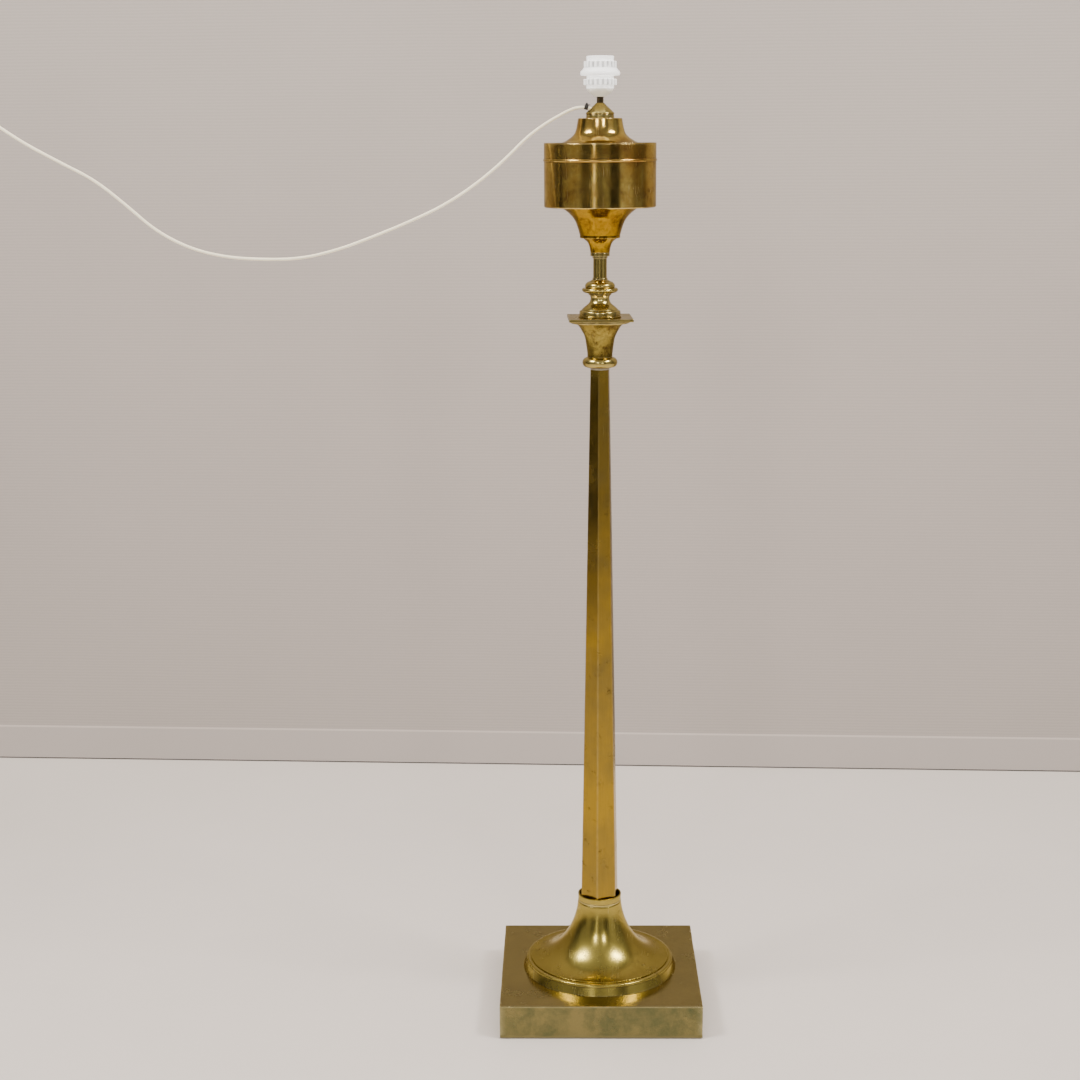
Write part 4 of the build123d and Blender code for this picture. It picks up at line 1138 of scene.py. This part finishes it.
def makeCoilTie(tie, flex):
    shape = bmesh.new()
    addLoop(shape, roundedBox(tie["halfRadial"], tie["halfWide"], 1.6), tie["width"], tie["thick"])
    none = Matrix.Identity(4)
    addBlock(shape, (3.0, 4.4, 4.6), (tie["halfRadial"] + 0.4, 2.0, 0), none, 0.5)
    angle = math.radians(tie["angle"])
    away = Vector((math.cos(angle), 0, math.sin(angle)))
    along = Vector((-math.sin(angle), 0, math.cos(angle)))
    centreX, centreZ = flex["coilCentre"]
    middle = Vector((centreX, 0, centreZ)) + away * tie["radius"] * mm
    frameOfTie = Matrix((away, along.cross(away), along)).transposed().to_4x4()
    piece = finishShape(shape, "coilTie", Matrix.Translation(middle) @ frameOfTie, "gripPlastic")
    return settle(piece, "stand", "coil_tie")


makeCoilTie(coilTieShape, flexSettings)

plugShape = {
    "centre": (-926.2, 0.0), "bottom": 1212.0, "power": 3.2, "count": 72,
    "rings": [          # height above the bottom, half width, half depth
        (0.0, 14.2, 4.6), (0.0, 16.3, 5.9), (0.5, 17.0, 6.5), (1.3, 17.4, 6.8), (6.0, 17.3, 6.8),
        (6.6, 16.8, 6.3), (7.4, 16.8, 6.3), (8.0, 17.2, 6.8), (12.0, 16.9, 6.8), (16.0, 15.4, 6.6),
        (20.0, 13.2, 6.3), (24.0, 10.9, 6.0), (28.0, 8.5, 5.7), (31.5, 6.6, 5.4), (33.6, 5.5, 5.1),
    ],
    "boot": {"bottom": 34.0, "top": 55.4, "low": 4.1, "high": 3.0, "least": 2.35, "ribs": 6,
             "sink": 0.75},
    "grip": {"from": 9, "to": 27, "ridges": 5, "depth": 0.55},     # finger ridges on the broad faces
}


def makePlug(plug):
    rings = list(plug["rings"])
    boot, grip = plug["boot"], plug["grip"]
    steps = boot["ribs"] * 8
    for step in range(steps + 1):
        share = step / steps
        radius = boot["low"] + (boot["high"] - boot["low"]) * share
        rib = max(0.0, math.sin(math.tau * boot["ribs"] * share - math.pi / 2)) ** 0.7
        radius = max(boot["least"], radius - boot["sink"] * rib)
        rings.append((boot["bottom"] + share * (boot["top"] - boot["bottom"]), radius, radius))
    rings += [(boot["top"] + 0.5, 2.6, 2.6), (boot["top"] + 0.5, 1.2, 1.2)]
    centreX, centreY = plug["centre"]
    shape = bmesh.new()
    rows = []
    for height, halfX, halfY in rings:
        rounder = min(1.0, max(0.0, (height - 24) / 10))
        power = plug["power"] + (2 - plug["power"]) * rounder
        row = []
        for step in range(plug["count"]):
            angle = math.tau * step / plug["count"]
            c, d = math.cos(angle), math.sin(angle)
            x = halfX * math.copysign(abs(c) ** (2 / power), c)
            y = halfY * math.copysign(abs(d) ** (2 / power), d)
            if grip["from"] < height < grip["to"] and abs(d) > 0.35:
                share = (height - grip["from"]) / (grip["to"] - grip["from"])
                ridge = max(0.0, math.sin(share * math.tau * grip["ridges"]))
                y -= math.copysign(grip["depth"] * ridge, y) * abs(d)
            row.append(shape.verts.new((x + centreX, y + centreY, plug["bottom"] + height)))
        rows.append(row)
    for low, high in zip(rows, rows[1:]):
        for step in range(plug["count"]):
            following = (step + 1) % plug["count"]
            shape.faces.new((low[step], low[following], high[following], high[step]))
    shape.faces.new(rows[0][::-1])
    shape.faces.new(rows[-1])
    piece = finishShape(shape, "plug", Matrix.Identity(4), "plugPlastic")
    for face in piece.data.polygons:
        face.use_smooth = len(face.vertices) == 4
    return settle(piece, "stand", "plug_body")


makePlug(plugShape)
print("stage: ties and plug")

stageShape = {"wallAt": 1.125, "slant": -0.045, "half": 6.5, "front": -8.0, "back": 6.5, "top": 6.0,
              "floorPaint": (0.81, 0.735, 0.675), "wallPaint": (0.465, 0.410, 0.376),
              "mirrored": 0.62, "paperRib": 0.0062, "skirting": 0.074,
              "skirtingPaint": (0.50, 0.445, 0.41), "darkSheet": (-3.0, -0.77, 1.5, 0.70)}     # metres


def makeFlat(name, corners, paint, rough, kind):
    mesh = bpy.data.meshes.new(name)
    mesh.from_pydata(corners, [], [(0, 1, 2, 3)])
    piece = newPiece(name, mesh)
    material, tree, shader, where = startMaterial(name + "Paint")
    cloud = noiseOf(tree, where, 1.3, 3, 0.5)
    darker = tuple(value * 0.95 for value in paint)
    colour = blendColour(tree, spread(tree, cloud, 0.35, 0.65), darker, paint)
    shader.inputs["Roughness"].default_value = rough
    if kind == "wall":     # ribbed paper; a camera behind the wall looks through it
        height = put(tree, "ShaderNodeSeparateXYZ", {0: where}).outputs[2]
        drawn = put(tree, "ShaderNodeMapping", {"Vector": where, "Scale": (0.12, 0.12, 1)}).outputs[0]
        waver = sums(tree, "MULTIPLY", noiseOf(tree, drawn, 60, 3, 0.6), 5.0)
        turns = sums(tree, "MULTIPLY", height, math.tau / stageShape["paperRib"])
        rib = sums(tree, "SINE", sums(tree, "ADD", turns, waver))
        tone = spread(tree, rib, -1, 1, 0.94, 1.02)
        shade = put(tree, "ShaderNodeCombineColor", {0: tone, 1: tone, 2: tone}).outputs[0]
        colour = blendColour(tree, 1.0, colour, shade, "MULTIPLY")
        # painted reflection: glossy rays see the wall darker, at the mirrored share of its paint
        glossy = put(tree, "ShaderNodeLightPath").outputs["Is Glossy Ray"]
        mirrored = tuple(value * stageShape["mirrored"] for value in paint)
        colour = blendColour(tree, glossy, colour, mirrored)
    if kind != "floor":
        behind = put(tree, "ShaderNodeNewGeometry").outputs["Backfacing"]
        clear = put(tree, "ShaderNodeBsdfTransparent").outputs[0]
        mixed = put(tree, "ShaderNodeMixShader", {0: behind, 1: shader.outputs[0], 2: clear}).outputs[0]
        tree.links.new(mixed, tree.nodes["Material Output"].inputs["Surface"])
    if kind == "floor":
        scuffs = placeGroup(tree, patinaGroup, Vector=where, Size=1.7, Cover=0.5, Soft=0.2).outputs[0]
        scuffed = tuple(value * 0.93 for value in paint)
        colour = blendColour(tree, scuffs, colour, scuffed)
    tree.links.new(colour, shader.inputs["Base Color"])
    mesh.materials.append(material)
    return piece


def makeStage(shape):
    half, slant = shape["half"], shape["slant"]

    def strip(forward, low, high):     # an upright strip along the wall
        ends = [(side * half, shape["wallAt"] + side * half * slant - forward) for side in (-1, 1)]
        return [(*ends[0], low), (*ends[1], low), (*ends[1], high), (*ends[0], high)]

    front, back = shape["front"], shape["back"]
    corners = [(-half, front, 0), (half, front, 0), (half, back, 0), (-half, back, 0)]
    makeFlat("studioFloor", corners, shape["floorPaint"], 0.4, "floor")
    makeFlat("studioWall", strip(0, 0, shape["top"]), shape["wallPaint"], 0.8, "wall")
    top = shape["skirting"]
    makeFlat("skirting", strip(0.012, 0.003, top), shape["skirtingPaint"], 0.6, "board")
    # painted highlight: a strip along the top edge of the skirting, brighter than its paint
    bright = tuple(value * 1.3 for value in shape["skirtingPaint"])
    makeFlat("skirtingEdgeHighlight", strip(0.013, top - 0.004, top), bright, 0.6, "board")
    # painted shade: a dark strip along the foot of the skirting
    makeFlat("skirtingGapShade", strip(0.013, 0, 0.003), (0.10, 0.09, 0.08), 0.8, "board")
    x, y, wide, high = shape["darkSheet"]     # a dark sheet to the left, seen only in reflections: a painted dark reflection in the brass
    near, far = y - wide / 2, y + wide / 2
    corners = [(x, near, 0), (x, far, 0), (x, far, high), (x, near, high)]
    darkSheet = makeFlat("darkReflectionSheet", corners, (0.035, 0.033, 0.030), 0.8, "darkSheet")
    darkSheet.visible_camera = False
    darkSheet.visible_diffuse = False
    darkSheet.visible_shadow = False


makeStage(stageShape)

lightSettings = {
    "leftPanel": {"place": (-2.0, -0.95, 3.1), "aim": (0, 0, 0.8), "size": (1.0, 0.5), "power": 82},
    "rightPanel": {"place": (2.0, -0.95, 3.1), "aim": (0, 0, 0.8), "size": (1.0, 0.5), "power": 82},
    "leftBack": {"place": (-1.2, -4.0, 2.6), "aim": (0, 0, 0.9), "size": (0.35, 0.5), "power": 26},
    "rightBack": {"place": (1.2, -4.0, 2.6), "aim": (0, 0, 0.9), "size": (0.35, 0.5), "power": 26},
    "ceiling": {"place": (0, -0.6, 4.4), "aim": (0, -0.4, 0), "size": (5.0, 3.6), "power": 135,
                "soft": True},
}

roomSettings = {
    "plain": (0.50, 0.465, 0.43),       # what a camera sees past the wall
    "ceiling": 0.42,
    "panels": [     # degrees round from the front, towards the right, and brightness
        (-180, 0.30), (-104, 0.26), (-98, 0.05), (-86, 0.05), (-80, 0.34), (-44, 0.40), (-36, 0.08),
        (-14.2, 0.08), (-13.2, 6.5), (-12.2, 6.5), (-11.2, 0.10), (2, 0.16), (6, 0.30), (17, 0.26),
        (21, 0.03),
        (38, 0.04), (43, 0.62), (66, 0.52), (72, 0.26), (105, 0.22), (118, 0.12), (180, 0.30),
    ],
}


def makeRoom(room):
    world = bpy.data.worlds.new("studioRoom")
    bpy.context.scene.world = world
    world.use_nodes = True
    tree = world.node_tree
    background = tree.nodes["Background"]
    outward = put(tree, "ShaderNodeNewGeometry").outputs["Position"]
    parts = put(tree, "ShaderNodeSeparateXYZ", {0: outward}).outputs
    angle = sums(tree, "ARCTAN2", parts[0], sums(tree, "MULTIPLY", parts[1], -1.0))
    share = spread(tree, angle, -math.pi, math.pi)
    ramp = put(tree, "ShaderNodeValToRGB", {0: share})
    stops = ramp.color_ramp.elements
    for index, (degrees, value) in enumerate(room["panels"]):
        place = (degrees + 180) / 360
        stop = stops[index] if index < 2 else stops.new(place)
        stop.position = place
        stop.color = (value, value * 0.96, value * 0.9, 1)
    up = spread(tree, parts[2], 0.22, 0.75)
    level = tuple(room["ceiling"] * tone for tone in (1.0, 0.97, 0.93))
    seen = blendColour(tree, up, ramp.outputs[0], level)
    direct = put(tree, "ShaderNodeLightPath").outputs["Is Camera Ray"]
    tree.links.new(blendColour(tree, direct, seen, room["plain"]), background.inputs["Color"])


def makeLights(settings):
    for name, values in settings.items():
        data = bpy.data.lights.new(name, "AREA")
        data.shape = "RECTANGLE"
        data.size, data.size_y = values["size"]
        data.energy = values["power"]
        data.color = (1.0, 0.965, 0.92)
        light = bpy.data.objects.new(name, data)
        light.visible_camera = False
        light.visible_glossy = not values.get("soft", False)
        bpy.context.collection.objects.link(light)
        light.location = values["place"]
        aim = Vector(values["aim"]) - Vector(values["place"])
        light.rotation_euler = aim.to_track_quat("-Z", "Y").to_euler()


makeRoom(roomSettings)
makeLights(lightSettings)
print("stage: studio")

flexPiece.data.materials.append(materials["flexSheath"])
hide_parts("flex_span", "flex_coil", "flex_tail")
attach(flexPiece, "stand")

nodeFinishes = {
    "felt": "felt", "plinth_brass": "plinthBrass", "steel": "zincSteel", "cast_iron": "castIron",
    "plain_brass": "turnedBrass", "foot_brass": "footBrass", "column_brass": "columnBrass",
    "collar_metal": "paleMetal", "turned_brass": "turnedBrass", "stem_brass": "turnedBrass",
    "amber_brass": "amberBrass", "drum_brass": "drumBrass", "black_steel": "blackSteel",
    "holder_plastic": "holderPlastic", "holder_insulator": "insulator", "contact_metal": "nickel",
    "lead_insulation": "leadInsulation", "flex_sheath": "flexSheath", "grip_plastic": "gripPlastic",
    "plug_plastic": "plugPlastic", "hook_steel": "nickel",
}
for node, thing in frame["nodes"].items():
    thing.data.materials.clear()
    thing.data.materials.append(materials[nodeFinishes[slotOf[node]]])

print("stage: finish")
